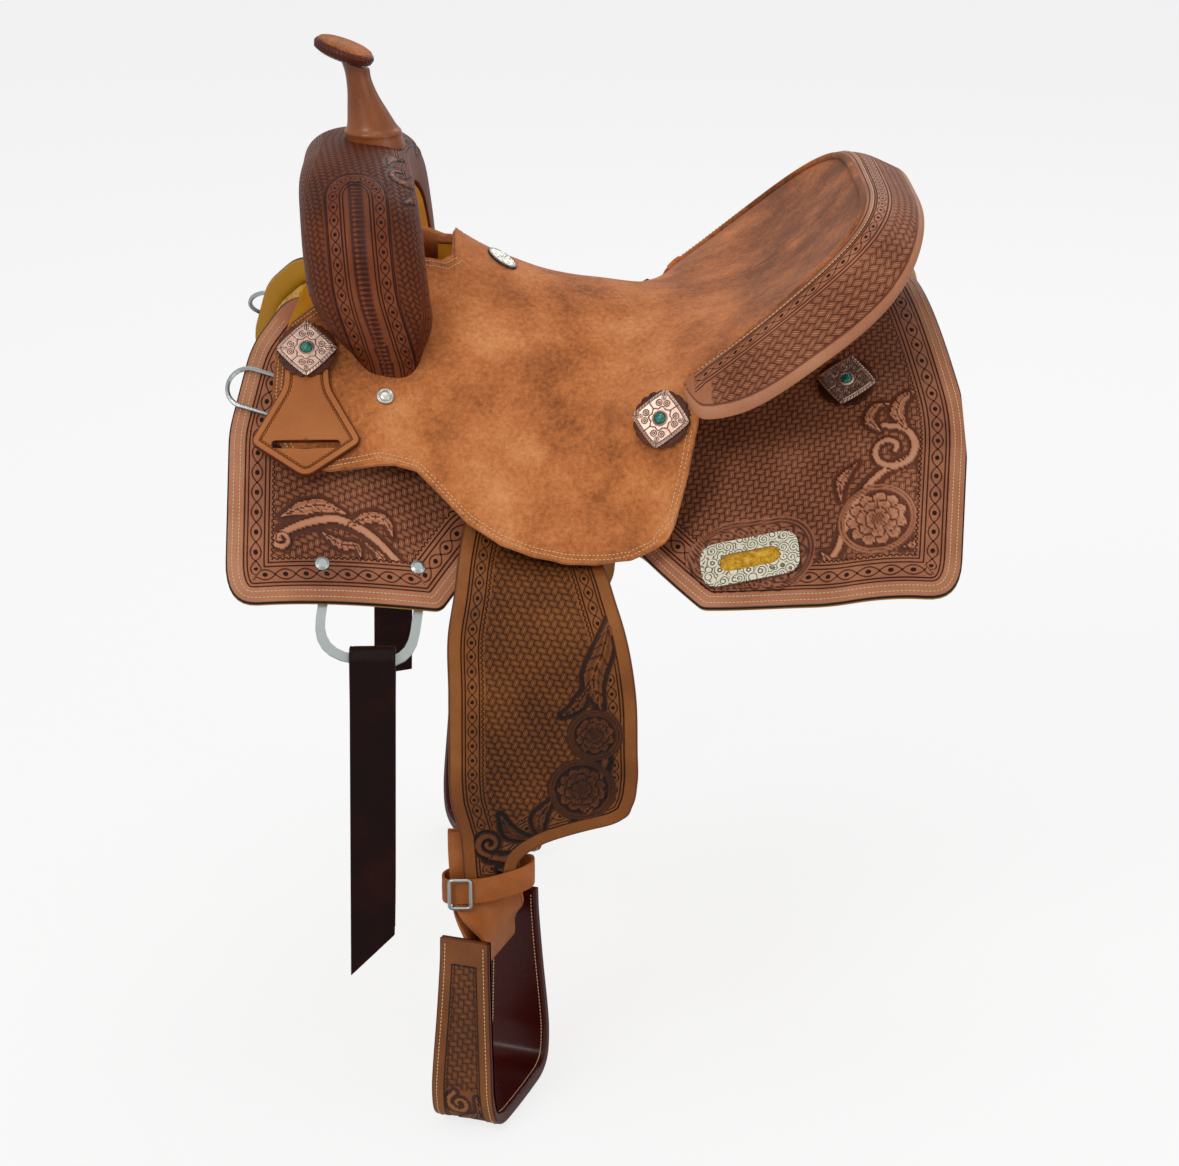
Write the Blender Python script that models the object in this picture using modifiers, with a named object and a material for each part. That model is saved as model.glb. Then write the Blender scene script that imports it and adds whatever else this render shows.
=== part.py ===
"""Barrel racing saddle, built as it comes apart on a saddler's bench.

Sizes are in millimetres and meshes are built in metres. +Z is up, the front of
the saddle is -X, and the near side (the rider's left) is -Y. The origin is on the
centre plane, at the level where the middle of the saddle rests on the horse.
"""
import math

import bmesh
import bpy
import numpy as np
from mathutils import Matrix, Vector
from mathutils.geometry import delaunay_2d_cdt, intersect_point_line

MM = 0.001
GAP = 0.5

# Skirts: the shape of the horse's back, as height, side slope and ridge half-width
# at the front, the middle and the rear
BACK_ENDS = (-300, 280)
RIDGE_HEIGHT = (132, 38, 82)
SIDE_SLOPE = (1.15, 1.04, 0.96)
RIDGE_WIDTH = (42, 82, 110)
SKIRT_LEATHER = 4.6
PLATE_SPACE = 4.6
FLEECE = 10

# Seat
SEAT_LEATHER = 4.2
CROWN = ((-180, 164), (-139, 142), (-117, 124), (-90, 106), (-62, 91.5), (-42, 82.5),
         (-14, 75), (13, 71), (47, 67), (75, 66.5), (300, 66.5))
CROWN_WIDTH = ((-200, 38), (-140, 42), (-60, 60), (0, 85), (63, 110), (100, 110))
CROWN_SLOPE = ((-200, 1.25), (-140, 1.2), (-60, 1.0), (-10, 0.9), (63, 0.457), (100, 0.457))
JOCKEY_STAND = ((-320, 12), (-250, 14), (-190, 22), (-120, 34), (-50, 38), (10, 34),
                (60, 20), (110, 14))
DISH_FLOOR = 66.5

# Cantle rim, a squared half oval in plan that rises to the back
RIM_START = 63
RIM_LENGTH = 169
RIM_WIDTH = 178
RIM_SQUARENESS = 4.0
RIM_LOW = 29.5
RIM_HIGH = 168.5

# Tree
BAR_THICKNESS = ((-290, 9), (-250, 12), (-150, 15), (-60, 20), (60, 20), (230, 15))
BAR_CENTRE = 97
BAR_HALF_WIDTH = 57
GROUND_SEAT = 4
FORK_OUTER = ((0, 201), (50, 199), (92, 191), (130, 172), (152, 140), (155, 103),
              (148, 62), (137, 30), (124, -30))
FORK_INNER = ((0, 146), (26, 144), (46, 135), (60, 119), (70, 100), (76, 82),
              (80, 62), (84, 35), (88, -10))
FORK_CENTRE = ((0, -202), (1, -201), (3, -195), (4, -192), (5, -188), (6, -178), (7, -172), (8, -170))
FORK_HALF_DEPTH = ((0, 43), (2, 46), (4, 47), (5, 46), (5.5, 43), (6, 36), (6.5, 27),
                   (7, 22), (8, 20))
FORK_SQUARENESS = 2.6
COVER = 2.5
COVER_OUTSIDE = 4.2

# Horn
HORN_BASE = (-182, 0, 190)
HORN_TILT = math.radians(20)
CAP_CENTRE = (-210.5, 0, 281.5)
CAP_RADIUS = 27
CORE_RADIUS = 7

# Rigging
DEE_X = -187
DEE_WIDTH = 87
DEE_BAR = 8
DEE_PLATE = 2.6
STRAP_WIDTH = 38
STRAP_LEATHER = 4

# Fender, stirrup leather and stirrup
HANG_X = -75
HANG_Y = -147
FOLD = (-56, -232, -97.5)
FENDER_LEATHER = 5
FENDER_LINE = ((-420, -281), (-300, -281), (-220, -281), (-185, -279), (-155, -273),
               (-133, -264), (-118, -254), (-107, -244), (-92, -225), (-70, -197))
BOLT = (-92, -269, -432)
STIRRUP_TURN = math.radians(69)
STIRRUP_SPAN = 117
LEATHER_WIDTH = 60

COLOURS = {
    "tooled": (0.27, 0.12, 0.06), "rough": (0.58, 0.28, 0.13), "plain": (0.42, 0.18, 0.07),
    "latigo": (0.05, 0.01, 0.01), "wood": (0.45, 0.3, 0.16), "fleece": (0.75, 0.45, 0.03),
    "steel": (0.7, 0.7, 0.68), "copper": (0.55, 0.36, 0.28),
}

collection = bpy.data.collections.new("barrel_racing_saddle")
cutters = bpy.data.collections.new("cutters")


def clear_scene():
    for obj in list(bpy.data.objects):
        bpy.data.objects.remove(obj, do_unlink=True)
    bpy.context.scene.collection.children.link(collection)
    bpy.context.scene.collection.children.link(cutters)


# Curves and surfaces as formulas

def ease(t):
    """0 to 1 with level ends."""
    t = np.clip(t, 0, 1)
    return t * t * (3 - 2 * t)


def through(points, x):
    """Smooth curve through the points, as a function of the first coordinate."""
    px, pz = np.array(points, float).T
    slope = np.gradient(pz, px)
    i = np.clip(np.searchsorted(px, x) - 1, 0, len(px) - 2)
    width = px[i + 1] - px[i]
    t = np.clip((x - px[i]) / width, 0, 1)
    ends = (2 * t**3 - 3 * t**2 + 1) * pz[i] + (3 * t**2 - 2 * t**3) * pz[i + 1]
    return ends + width * ((t**3 - 2 * t**2 + t) * slope[i] + (t**3 - t**2) * slope[i + 1])


def along_back(x, values):
    front, middle, rear = values
    to_front = front + (middle - front) * ease((x - BACK_ENDS[0]) / -BACK_ENDS[0])
    to_rear = middle + (rear - middle) * ease(x / BACK_ENDS[1])
    return np.where(x < 0, to_front, to_rear)


def back(x, y):
    """Upper face of the skirts: a hyperbola across the horse, eased along it."""
    w = along_back(x, RIDGE_WIDTH)
    return along_back(x, RIDGE_HEIGHT) - along_back(x, SIDE_SLOPE) * (np.sqrt(y * y + w * w) - w)


def raised(surface, distance):
    """A surface at this distance from another, measured square to it."""
    def height(x, y):
        e = 0.5
        gx = (surface(x + e, y) - surface(x - e, y)) / (2 * e)
        gy = (surface(x, y + e) - surface(x, y - e)) / (2 * e)
        rise = distance(x, y) if callable(distance) else distance
        return surface(x, y) + rise * np.sqrt(1 + gx * gx + gy * gy)
    return height


def rim_share(x, y):
    """1 on the cantle's rim and less inside it."""
    u = np.maximum(0, x - RIM_START) / RIM_LENGTH
    n = RIM_SQUARENESS
    return (u**n + (np.abs(y) / RIM_WIDTH) ** n) ** (1 / n) + 1e-6


def rim_height(x):
    return RIM_LOW + (RIM_HIGH - RIM_LOW) * np.clip((x - RIM_START) / RIM_LENGTH, 0, 1) ** 1.1


def seat_top(x, y):
    """Saddle of the seat, with the dish that rises to the cantle's rim."""
    w = through(CROWN_WIDTH, x)
    crown = through(CROWN, x) - through(CROWN_SLOPE, x) * (np.sqrt(y * y + w * w) - w)
    share = rim_share(x, y)
    rim = rim_height(RIM_START + np.maximum(0, x - RIM_START) / share)
    dish = DISH_FLOOR + (rim - DISH_FLOOR) * np.minimum(share, 1.02) ** 2.2
    fall = 0.035 * ease((x + 40) / 90) * np.maximum(0, (share - 0.95) * RIM_WIDTH) ** 2
    return crown + (dish - crown) * ease((x - 40) / 50) - fall


def seat(x, y):
    """The seat and the jockeys below it, blended where they meet."""
    high = seat_top(x, y)
    low = raised(back, lambda a, b: through(JOCKEY_STAND, a))(x, y)
    reach = 14
    h = np.clip(0.5 + 0.5 * (high - low) / reach, 0, 1)
    return low + (high - low) * h + reach * h * (1 - h)


def bar_rise(x, y):
    across = (np.abs(y) - BAR_CENTRE) / BAR_HALF_WIDTH
    return through(BAR_THICKNESS, x) * (1 - 0.7 * np.minimum(np.abs(across), 1) ** 4)


def rounded(corners, steps=4):
    """An outline whose corners (x, y, radius) are turned into arcs."""
    points = []
    for i, (x, y, radius) in enumerate(corners):
        here = Vector((x, y))
        before = Vector(corners[i - 1][:2]) - here
        after = Vector(corners[(i + 1) % len(corners)][:2]) - here
        angle = before.angle(after)
        if not radius or angle > 3.1:
            points.append((x, y))
            continue
        reach = min(radius / math.tan(angle / 2), before.length * 0.49, after.length * 0.49)
        start = here + before.normalized() * reach
        end = here + after.normalized() * reach
        for k in range(steps + 1):
            t = k / steps
            p = start * (1 - t) ** 2 + here * (2 * t * (1 - t)) + end * t**2
            points.append((p.x, p.y))
    return points


def both_sides(half):
    """A half outline from the centre plane and back to it, and its mirror image."""
    return list(half) + [(x, -y) for x, y in reversed(half) if abs(y) > 0.01]


# Making objects

def own_material(name, look):
    material = bpy.data.materials.new(name)
    material.use_nodes = True
    shader = material.node_tree.nodes["Principled BSDF"]
    shader.inputs["Base Color"].default_value = (*COLOURS[look], 1)
    metal = look in ("steel", "copper")
    shader.inputs["Metallic"].default_value = 0.9 if metal else 0
    shader.inputs["Roughness"].default_value = 0.35 if metal else 0.7
    return material


def add_object(name, bm, look):
    mesh = bpy.data.meshes.new(name)
    bm.to_mesh(mesh)
    bm.free()
    if look:
        mesh.materials.append(own_material(name, look))
        mesh.shade_smooth()
        mesh.set_sharp_from_angle(angle=math.radians(40))
    obj = bpy.data.objects.new(name, mesh)
    (collection if look else cutters).objects.link(obj)
    if not look:
        obj.hide_render = True
        obj.display_type = "WIRE"
    return obj


def divided(outline, longest):
    """The outline with points added, so that no side is longer than this."""
    points = []
    for a, b in zip(outline, outline[1:] + outline[:1]):
        count = max(1, math.ceil(math.dist(a, b) / longest))
        points += [Vector(a).lerp(Vector(b), k / count) for k in range(count)]
    return points


def well_inside(p, ring, clearance):
    """Whether a point lies inside a closed outline and this far from its sides."""
    inside = False
    for a, b in zip(ring, ring[1:] + ring[:1]):
        if (a.y > p.y) != (b.y > p.y) and p.x < a.x + (p.y - a.y) * (b.x - a.x) / (b.y - a.y):
            inside = not inside
        share = min(max(intersect_point_line(p, a, b)[1], 0), 1)
        if (a.lerp(b, share) - p).length < clearance:
            return False
    return inside


def grid_of_outline(outline, lines_u, lines_v, longest=24, clearance=6):
    """A flat outline filled with triangles, with points where the lines cross inside it."""
    ring = divided(outline, longest)
    crossings = [Vector((u, v)) for u in lines_u for v in lines_v]
    inner = [p for p in crossings if well_inside(p, ring, clearance)]
    points, _, faces, *_ = delaunay_2d_cdt(ring + inner, [], [list(range(len(ring)))], 1, 1e-4)
    bm = bmesh.new()
    verts = [bm.verts.new((*p, 0)) for p in points]
    for face in faces:
        bm.faces.new([verts[i] for i in face])
    if sum(f.normal.z for f in bm.faces) < 0 or bm.faces[:][0].normal.z < 0:
        bmesh.ops.reverse_faces(bm, faces=bm.faces[:])
    return bm


def spaced(low, high, step):
    count = round((high - low) / step)
    return [low + (high - low) * i / count for i in range(1, count)]


def move_verts(bm, verts, place):
    at = np.array([v.co[:2] for v in verts])
    x, y, z = (np.broadcast_to(c, len(verts)) for c in place(at[:, 0], at[:, 1]))
    for vert, co in zip(verts, np.stack([x, y, z], -1)):
        vert.co = co * MM


def sheet(name, outline, place, thickness, look, lines_u, lines_v):
    """Leather cut to a flat outline, bent by place(u, v), its thickness inwards."""
    bm = grid_of_outline(outline, lines_u, lines_v)
    move_verts(bm, bm.verts[:], place)
    bmesh.ops.triangulate(bm, faces=bm.faces[:])
    obj = add_object(name, bm, look)
    solidify = obj.modifiers.new("leather", "SOLIDIFY")
    solidify.thickness = thickness * MM
    solidify.offset = -1
    return obj


def draped(name, outline, height, thickness, look, lines_x, lines_y):
    return sheet(name, outline, lambda x, y: (x, y, height(x, y)), thickness, look,
                 lines_x, lines_y)


def block(name, outline, top, bottom, look, lines_x, lines_y):
    """A solid between two heights over a plan outline."""
    bm = grid_of_outline(outline, lines_x, lines_y)
    low = bm.verts[:]
    made = bmesh.ops.extrude_face_region(bm, geom=bm.faces[:], use_keep_orig=True)
    high = [v for v in made["geom"] if isinstance(v, bmesh.types.BMVert)]
    move_verts(bm, high, lambda x, y: (x, y, top(x, y)))
    move_verts(bm, low, lambda x, y: (x, y, bottom(x, y)))
    bmesh.ops.triangulate(bm, faces=bm.faces[:])
    bmesh.ops.recalc_face_normals(bm, faces=bm.faces[:])
    return add_object(name, bm, look)


def surface(name, points, look, closed_v=True, caps=True):
    """A loft: rows of points, joined row to row, its two ends capped."""
    rows, count = len(points), len(points[0])
    bm = bmesh.new()
    grid = [[bm.verts.new(Vector(p) * MM) for p in row] for row in points]
    for i in range(rows - 1):
        for j in range(count if closed_v else count - 1):
            k = (j + 1) % count
            bm.faces.new((grid[i][j], grid[i][k], grid[i + 1][k], grid[i + 1][j]))
    if caps:
        bm.faces.new(grid[0])
        bm.faces.new(grid[-1])
    bmesh.ops.triangulate(bm, faces=[f for f in bm.faces if len(f.verts) > 4])
    bmesh.ops.recalc_face_normals(bm, faces=bm.faces[:])
    return add_object(name, bm, look)


def wall(obj, thickness, offset=-1):
    solidify = obj.modifiers.new("wall", "SOLIDIFY")
    solidify.thickness = thickness * MM
    solidify.offset = offset
    solidify.use_even_offset = True
    return obj


def disc_rings(profile, outline, count):
    """Rows for a loft: outline(angle) scaled and raised by each profile (scale, z)."""
    angles = [2 * math.pi * k / count for k in range(count)]
    return [[(s * outline(a) * math.cos(a), s * outline(a) * math.sin(a), z) for a in angles]
            for s, z in profile]


def cut(obj, cutter):
    boolean = obj.modifiers.new("cut_" + cutter.name, "BOOLEAN")
    boolean.operation = "DIFFERENCE"
    boolean.object = cutter
    boolean.solver = "EXACT"


def cylinder(name, radius, start, end, look, sides=20):
    start, end = Vector(start), Vector(end)
    bm = bmesh.new()
    bmesh.ops.create_cone(bm, cap_ends=True, segments=sides, radius1=radius * MM,
                          radius2=radius * MM, depth=(end - start).length * MM)
    turn = Vector((0, 0, 1)).rotation_difference(end - start).to_matrix().to_4x4()
    bm.transform(Matrix.Translation((start + end) / 2 * MM) @ turn)
    return add_object(name, bm, look)


def wire(name, points, radius, look, closed=True):
    """A bent wire, as a smooth closed curve with a round section."""
    curve = bpy.data.curves.new(name, "CURVE")
    curve.dimensions = "3D"
    curve.bevel_depth = radius * MM
    curve.bevel_resolution = 1
    curve.use_fill_caps = True
    spline = curve.splines.new("POLY")
    spline.points.add(len(points) - 1)
    for point, co in zip(spline.points, points):
        point.co = (*(Vector(co) * MM), 1)
    spline.use_cyclic_u = closed
    curve.materials.append(own_material(name, look))
    obj = bpy.data.objects.new(name, curve)
    collection.objects.link(obj)
    return obj


def flat_plate(name, outlines, thickness, look):
    """A flat plate in the XY plane: the first outline, less the others."""
    curve = bpy.data.curves.new(name, "CURVE")
    curve.dimensions = "2D"
    curve.fill_mode = "BOTH"
    curve.extrude = thickness / 2 * MM
    for outline in outlines:
        spline = curve.splines.new("POLY")
        spline.points.add(len(outline) - 1)
        for point, (x, y) in zip(spline.points, outline):
            point.co = (x * MM, y * MM, 0, 1)
        spline.use_cyclic_u = True
    curve.materials.append(own_material(name, look))
    obj = bpy.data.objects.new(name, curve)
    collection.objects.link(obj)
    return obj


def seated(x, y, surface_height, radius, turn=0.0):
    """Frame of a flat piece that lies on a surface: its back face touches, its X runs
    to the rear and its Y up the slope, turned by an angle about the outward normal."""
    e = 1.0
    gx = (surface_height(x + e, y) - surface_height(x - e, y)) / (2 * e)
    gy = (surface_height(x, y + e) - surface_height(x, y - e)) / (2 * e)
    normal = Vector((-gx, -gy, 1)).normalized()
    right = Vector((1, 0, gx)).normalized()
    up = normal.cross(right)
    origin = Vector((x, y, float(surface_height(x, y))))
    lift = 0.0
    for ring in (0.5, 1.0):
        for k in range(12):
            a = math.tau * k / 12
            p = origin + radius * ring * (right * math.cos(a) + up * math.sin(a))
            lift = max(lift, (float(surface_height(p.x, p.y)) - p.z) * normal.z)
    origin += normal * lift
    frame = Matrix((right, up, normal)).transposed().to_4x4() @ Matrix.Rotation(turn, 4, "Z")
    return Matrix.Translation(origin * MM) @ frame


def put(obj, frame, lift):
    obj.matrix_world = frame @ Matrix.Translation((0, 0, lift * MM))
    return obj


def far_copy(obj, name):
    """The mirror image of a near-side piece, for the far side."""
    bpy.context.view_layer.update()
    graph = bpy.context.evaluated_depsgraph_get()
    mesh = bpy.data.meshes.new_from_object(obj.evaluated_get(graph))
    bm = bmesh.new()
    bm.from_mesh(mesh)
    bmesh.ops.remove_doubles(bm, verts=bm.verts[:], dist=1e-6)
    bm.transform(Matrix.Diagonal((1, -1, 1, 1)) @ obj.matrix_world)
    bmesh.ops.reverse_faces(bm, faces=bm.faces[:])
    look = bpy.data.materials[obj.name].copy()
    look.name = name
    mesh.materials.clear()
    mesh.materials.append(look)
    bm.to_mesh(mesh)
    bm.free()
    copy = bpy.data.objects.new(name, mesh)
    collection.objects.link(copy)
    return copy


def on_pivot(name, location, pieces):
    """Parents the pieces to an empty that stands on their joint's axis."""
    empty = bpy.data.objects.new(name, None)
    collection.objects.link(empty)
    empty.location = Vector(location) * MM
    bpy.context.view_layer.update()
    for piece in pieces:
        piece.parent = empty
        piece.matrix_parent_inverse = empty.matrix_world.inverted()


# Outlines in plan, near side

SKIRT_OUTLINE = rounded((
    (-232, -66, 0), (-260, -70, 40), (-291, -106, 60), (-308, -160, 60), (-308, -265, 26),
    (-129, -254, 14), (-87, -205, 24), (29, -200, 24), (86, -255, 18), (190, -285, 200),
    (296, -298, 30),
    (316, -165, 150), (287, -20, 14), (284, -4, 0), (210, -4, 30), (121, -34, 60),
    (-58, -46, 60)))
FLEECE_OUTLINE = rounded((
    (-232, -73, 0), (-256, -77, 40), (-284, -110, 60), (-300, -160, 60), (-300, -246, 24),
    (-136, -236, 14), (-94, -194, 24), (35, -189, 24), (94, -236, 18), (288, -282, 28),
    (306, -165, 150), (279, -26, 14), (276, -11, 0), (212, -11, 30), (124, -41, 60),
    (-58, -53, 60)))
BAR_OUTLINE = rounded((
    (-236, -56, 20), (-264, -114, 24), (-240, -150, 26), (-150, -148, 30), (-104, -139, 30),
    (-10, -139, 40), (40, -136, 40), (120, -114, 60), (196, -104, 50), (206, -48, 30),
    (60, -42, 60), (-150, -44, 60)))
SEAT_OUTLINE = (
    (-116, 0), (-111, -18), (-114, -36), (-128, -48), (-148, -56), (-193, -74), (-226, -90),
    (-239, -98), (-259, -108), (-272, -126), (-274, -152), (-269, -178), (-254, -193),
    (-222, -198), (-168, -195), (-150, -199), (-128, -216), (-107, -232), (-79, -244),
    (-53, -249), (-25, -251), (-1, -249), (29, -241), (49, -230), (66, -220), (77, -212),
    (83, -202), (84, -190), (84, -177))


def skirts():
    lines_x, lines_y = spaced(-320, 309, 32), spaced(-303, -4, 27)
    skirt = draped("skirt_left", SKIRT_OUTLINE, back, SKIRT_LEATHER, "tooled", lines_x, lines_y)
    slot = flat_plate("slot_cutter", [slot_outline(54, 18)], 30, "steel")
    put(slot, slot_frame(), 0)
    cut(skirt, mesh_cutter(slot))
    under = raised(back, -(SKIRT_LEATHER + PLATE_SPACE))
    fleece = draped("fleece_left", FLEECE_OUTLINE, under, FLEECE, "fleece",
                    spaced(-313, 302, 50), spaced(-295, -9, 40))
    far_copy(skirt, "skirt_right")
    far_copy(fleece, "fleece_right")


def mesh_cutter(obj):
    """A curve piece made into a hidden mesh cutter."""
    bpy.context.view_layer.update()
    graph = bpy.context.evaluated_depsgraph_get()
    bm = bmesh.new()
    bm.from_mesh(bpy.data.meshes.new_from_object(obj.evaluated_get(graph)))
    bmesh.ops.remove_doubles(bm, verts=bm.verts[:], dist=1e-6)
    bm.transform(obj.matrix_world)
    bmesh.ops.recalc_face_normals(bm, faces=bm.faces[:])
    name = obj.name
    bpy.data.objects.remove(obj, do_unlink=True)
    return add_object(name + "_mesh", bm, None)


def slot_outline(length, height):
    """A slot with round ends."""
    r = height / 2
    right = [(length / 2 - r + r * math.cos(a), r * math.sin(a))
             for a in np.linspace(-math.pi / 2, math.pi / 2, 9)]
    return right + [(-x, -y) for x, y in right]


def slot_frame():
    return seated(128, -235, back, 38, math.radians(-11))


def rear_cinch_plate():
    outer = rounded(((-42, -20, 15), (42, -20, 15), (42, 20, 15), (-42, 20, 15)), 6)
    plate = flat_plate("cinch_plate_left", [outer, slot_outline(52, 16)], 2.4, "steel")
    put(plate, slot_frame(), GAP + 1.2)
    far_copy(plate, "cinch_plate_right")


def tree_bars():
    bar = block("tree_bar_left", BAR_OUTLINE, raised(back, lambda x, y: 2 * GAP + bar_rise(x, y)),
                raised(back, 2 * GAP), "wood", spaced(-264, 206, 47), (-128, -110, -84, -60))
    far_copy(bar, "tree_bar_right")


def fork_point(t, angle, grow):
    """A point of the fork: t runs from the centre, 0, down the near leg, 8, and angle
    round its section, with 90 degrees on the outside; grow stands off the wood."""
    stations = np.arange(len(FORK_OUTER))
    outer = Vector([float(through(np.c_[stations, [p[k] for p in FORK_OUTER]], abs(t)))
                    for k in (0, 1)])
    inner = Vector([float(through(np.c_[stations, [p[k] for p in FORK_INNER]], abs(t)))
                    for k in (0, 1)])
    middle = (outer + inner) / 2
    reach = (outer - inner) / 2
    power = 2 / FORK_SQUARENESS
    c, s = math.cos(angle), math.sin(angle)
    half = float(through(FORK_HALF_DEPTH, abs(t))) + grow
    x = float(through(FORK_CENTRE, abs(t))) + half * math.copysign(abs(c) ** power, c)
    out = reach.length + grow
    q = middle + reach.normalized() * out * math.copysign(abs(s) ** power, s)
    return (x, q.x * (-1 if t >= 0 else 1), q.y)


def fork_rows(angles, grow):
    """Rows of points round the fork at these angles, from one leg to the other."""
    return [[fork_point(t, math.radians(a), grow) for a in angles]
            for t in np.linspace(-8, 8, 23)]


def fork():
    around = [18 * k for k in range(20)]
    wood = surface("fork", fork_rows(around, 0), "wood")
    outside = [-18 + 18 * k for k in range(13)]
    cover = surface("fork_cover", fork_rows(outside, COVER_OUTSIDE), "tooled", False, False)
    inside = [203] + [216 + 18 * k for k in range(7)] + [337]
    lining = surface("gullet_lining", fork_rows(inside, COVER_OUTSIDE), "fleece", False, False)
    for shell in (cover, lining):
        face_away_from_wood(shell)
        wall(shell, COVER)
    above_bars = raised(back, lambda x, y: 3 * GAP + 0.4 + through(BAR_THICKNESS, x))
    ground = block("bar_envelope", [(-300, -190), (-100, -190), (-100, 190), (-300, 190)],
                   above_bars, lambda x, y: x * 0 - 200, None, spaced(-300, -100, 25),
                   spaced(-190, 190, 20))
    post = cylinder("post_hole", CORE_RADIUS + 0.5, *core_ends(6), None)
    for piece in (wood, cover, lining):
        cut(piece, ground)
    for piece in (wood, cover):
        cut(piece, post)


def face_away_from_wood(shell):
    """Turns an open shell of the fork so that its faces look away from the wood."""
    mesh = shell.data
    centre = Vector((FORK_CENTRE[0][1], 0, (FORK_OUTER[0][1] + FORK_INNER[0][1]) / 2)) * MM
    nearest = min(mesh.polygons, key=lambda f: (f.center - centre).length)
    if (nearest.center - centre).dot(nearest.normal) < 0:
        mesh.flip_normals()


def core_ends(extra=0.0):
    """The horn's steel post, from inside the fork to under the cap."""
    foot, head = Vector((-181, 0, 172)), horn_neck(1.0)[0]
    line = (head - foot).normalized()
    return foot - line * extra, head + line * (extra - 3.5)


def cap_axis():
    return Vector((math.sin(HORN_TILT), 0, math.cos(HORN_TILT)))


def horn_neck(t):
    """Centre, radii and tilt of the neck's section at t from the fork to the cap."""
    foot = Vector(HORN_BASE)
    rear = Vector((math.cos(HORN_TILT), 0, -math.sin(HORN_TILT)))
    head = Vector(CAP_CENTRE) + rear * 12 - cap_axis() * 8
    sizes = ((0, 24), (0.25, 23.5), (0.33, 21), (0.5, 17), (0.72, 12.8), (0.9, 11.8), (1, 13))
    return foot.lerp(head, t), float(through(sizes, t)), HORN_TILT * float(ease((t - 0.3) / 0.7))


def horn():
    rows = []
    for t in (0, 0.3, 0.34, 0.4, 0.55, 0.7, 0.85, 0.94, 1.0):
        centre, radius, tilt = horn_neck(t)
        across = Vector((math.cos(tilt), 0, -math.sin(tilt)))
        rows.append([centre + across * radius * math.cos(a) + Vector((0, radius * math.sin(a), 0))
                     for a in np.linspace(0, math.tau, 20, endpoint=False)])
    wrap = surface("horn_wrap", rows, "plain")
    envelope = surface("cover_envelope", fork_rows([18 * k for k in range(20)], COVER_OUTSIDE + GAP), None)
    cut(wrap, envelope)
    cut(wrap, cylinder("core_hole", CORE_RADIUS + 0.5, *core_ends(6), None))
    cylinder("horn_core", CORE_RADIUS, *core_ends(), "steel")
    profile = ((0, 6.5), (18, 6.5), (24, 5), (CAP_RADIUS, 0), (25, -5), (19, -7), (0, -7.5))
    bm = bmesh.new()
    verts = [bm.verts.new((r * MM, 0, z * MM)) for r, z in profile]
    for a, b in zip(verts, verts[1:]):
        bm.edges.new((a, b))
    cap = add_object("horn_cap", bm, "rough")
    screw = cap.modifiers.new("turn", "SCREW")
    screw.steps = screw.render_steps = 28
    screw.use_merge_vertices = True
    screw.merge_threshold = 0.00001
    screw.use_smooth_shade = True
    turn = Matrix.Rotation(HORN_TILT, 4, "Y")
    cap.matrix_world = Matrix.Translation(Vector(CAP_CENTRE) * MM) @ turn


def rim_curve(count, share=1.0):
    """Points along the rim from the near tip to the far tip, evenly spaced."""
    t = np.sin(np.linspace(0, 1, 400) * math.pi / 2) ** 2 * math.pi / 2
    x = RIM_START + share * RIM_LENGTH * np.sin(t) ** (2 / RIM_SQUARENESS)
    y = -share * RIM_WIDTH * np.cos(t) ** (2 / RIM_SQUARENESS)
    half = np.stack([x, y], -1)
    whole = np.concatenate([half, half[-2::-1] * [1, -1]])
    run = np.r_[0, np.cumsum(np.hypot(*np.diff(whole, axis=0).T))]
    at = np.linspace(0, run[-1], count)
    return [Vector((np.interp(s, run, whole[:, 0]), np.interp(s, run, whole[:, 1]))) for s in at]


def outward(points, i):
    ahead = points[min(i + 1, len(points) - 1)] - points[max(i - 1, 0)]
    return Vector((ahead.y, -ahead.x)).normalized()


ROLL_WIDTH = ((0, 12), (0.06, 24), (0.3, 42), (0.6, 50), (0.85, 56), (1, 52))
ROLL_DROP = ((0, 6), (0.06, 16), (0.3, 42), (0.6, 48), (0.85, 34), (1, 12))


def roll_section(x, y, out):
    """Outline of the cantle roll's section, from its seam outwards and back beneath."""
    along = np.clip((x - RIM_START) / RIM_LENGTH, 0, 1)
    wide, drop = float(through(ROLL_WIDTH, along)), float(through(ROLL_DROP, along))
    z = float(rim_height(x))
    shape = ((1.0, 0.5, 0), (0.14, 3.5, 0.02), (0.45, 4, 0.22), (0.8, 2, 0.66), (0.97, 1, 0.93),
             (1.0, -2.5, 1.0), (0.95, -5, 1.0), (0.75, -7, 0.66), (0.4, -8, 0.24), (1.0, -8, 0.02))
    points = []
    for i, (share, rise, fall) in enumerate(shape):
        reach = 1.0 if i in (0, len(shape) - 1) else share * wide
        p = Vector((x, y)) + out * reach
        height = z + rise - fall * drop
        if x < 90:
            over = float(seat(p.x, p.y)) + (4 if i > 4 else 7.5)
            height = max(height, over)
        points.append((p.x, p.y, height))
    return points


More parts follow.
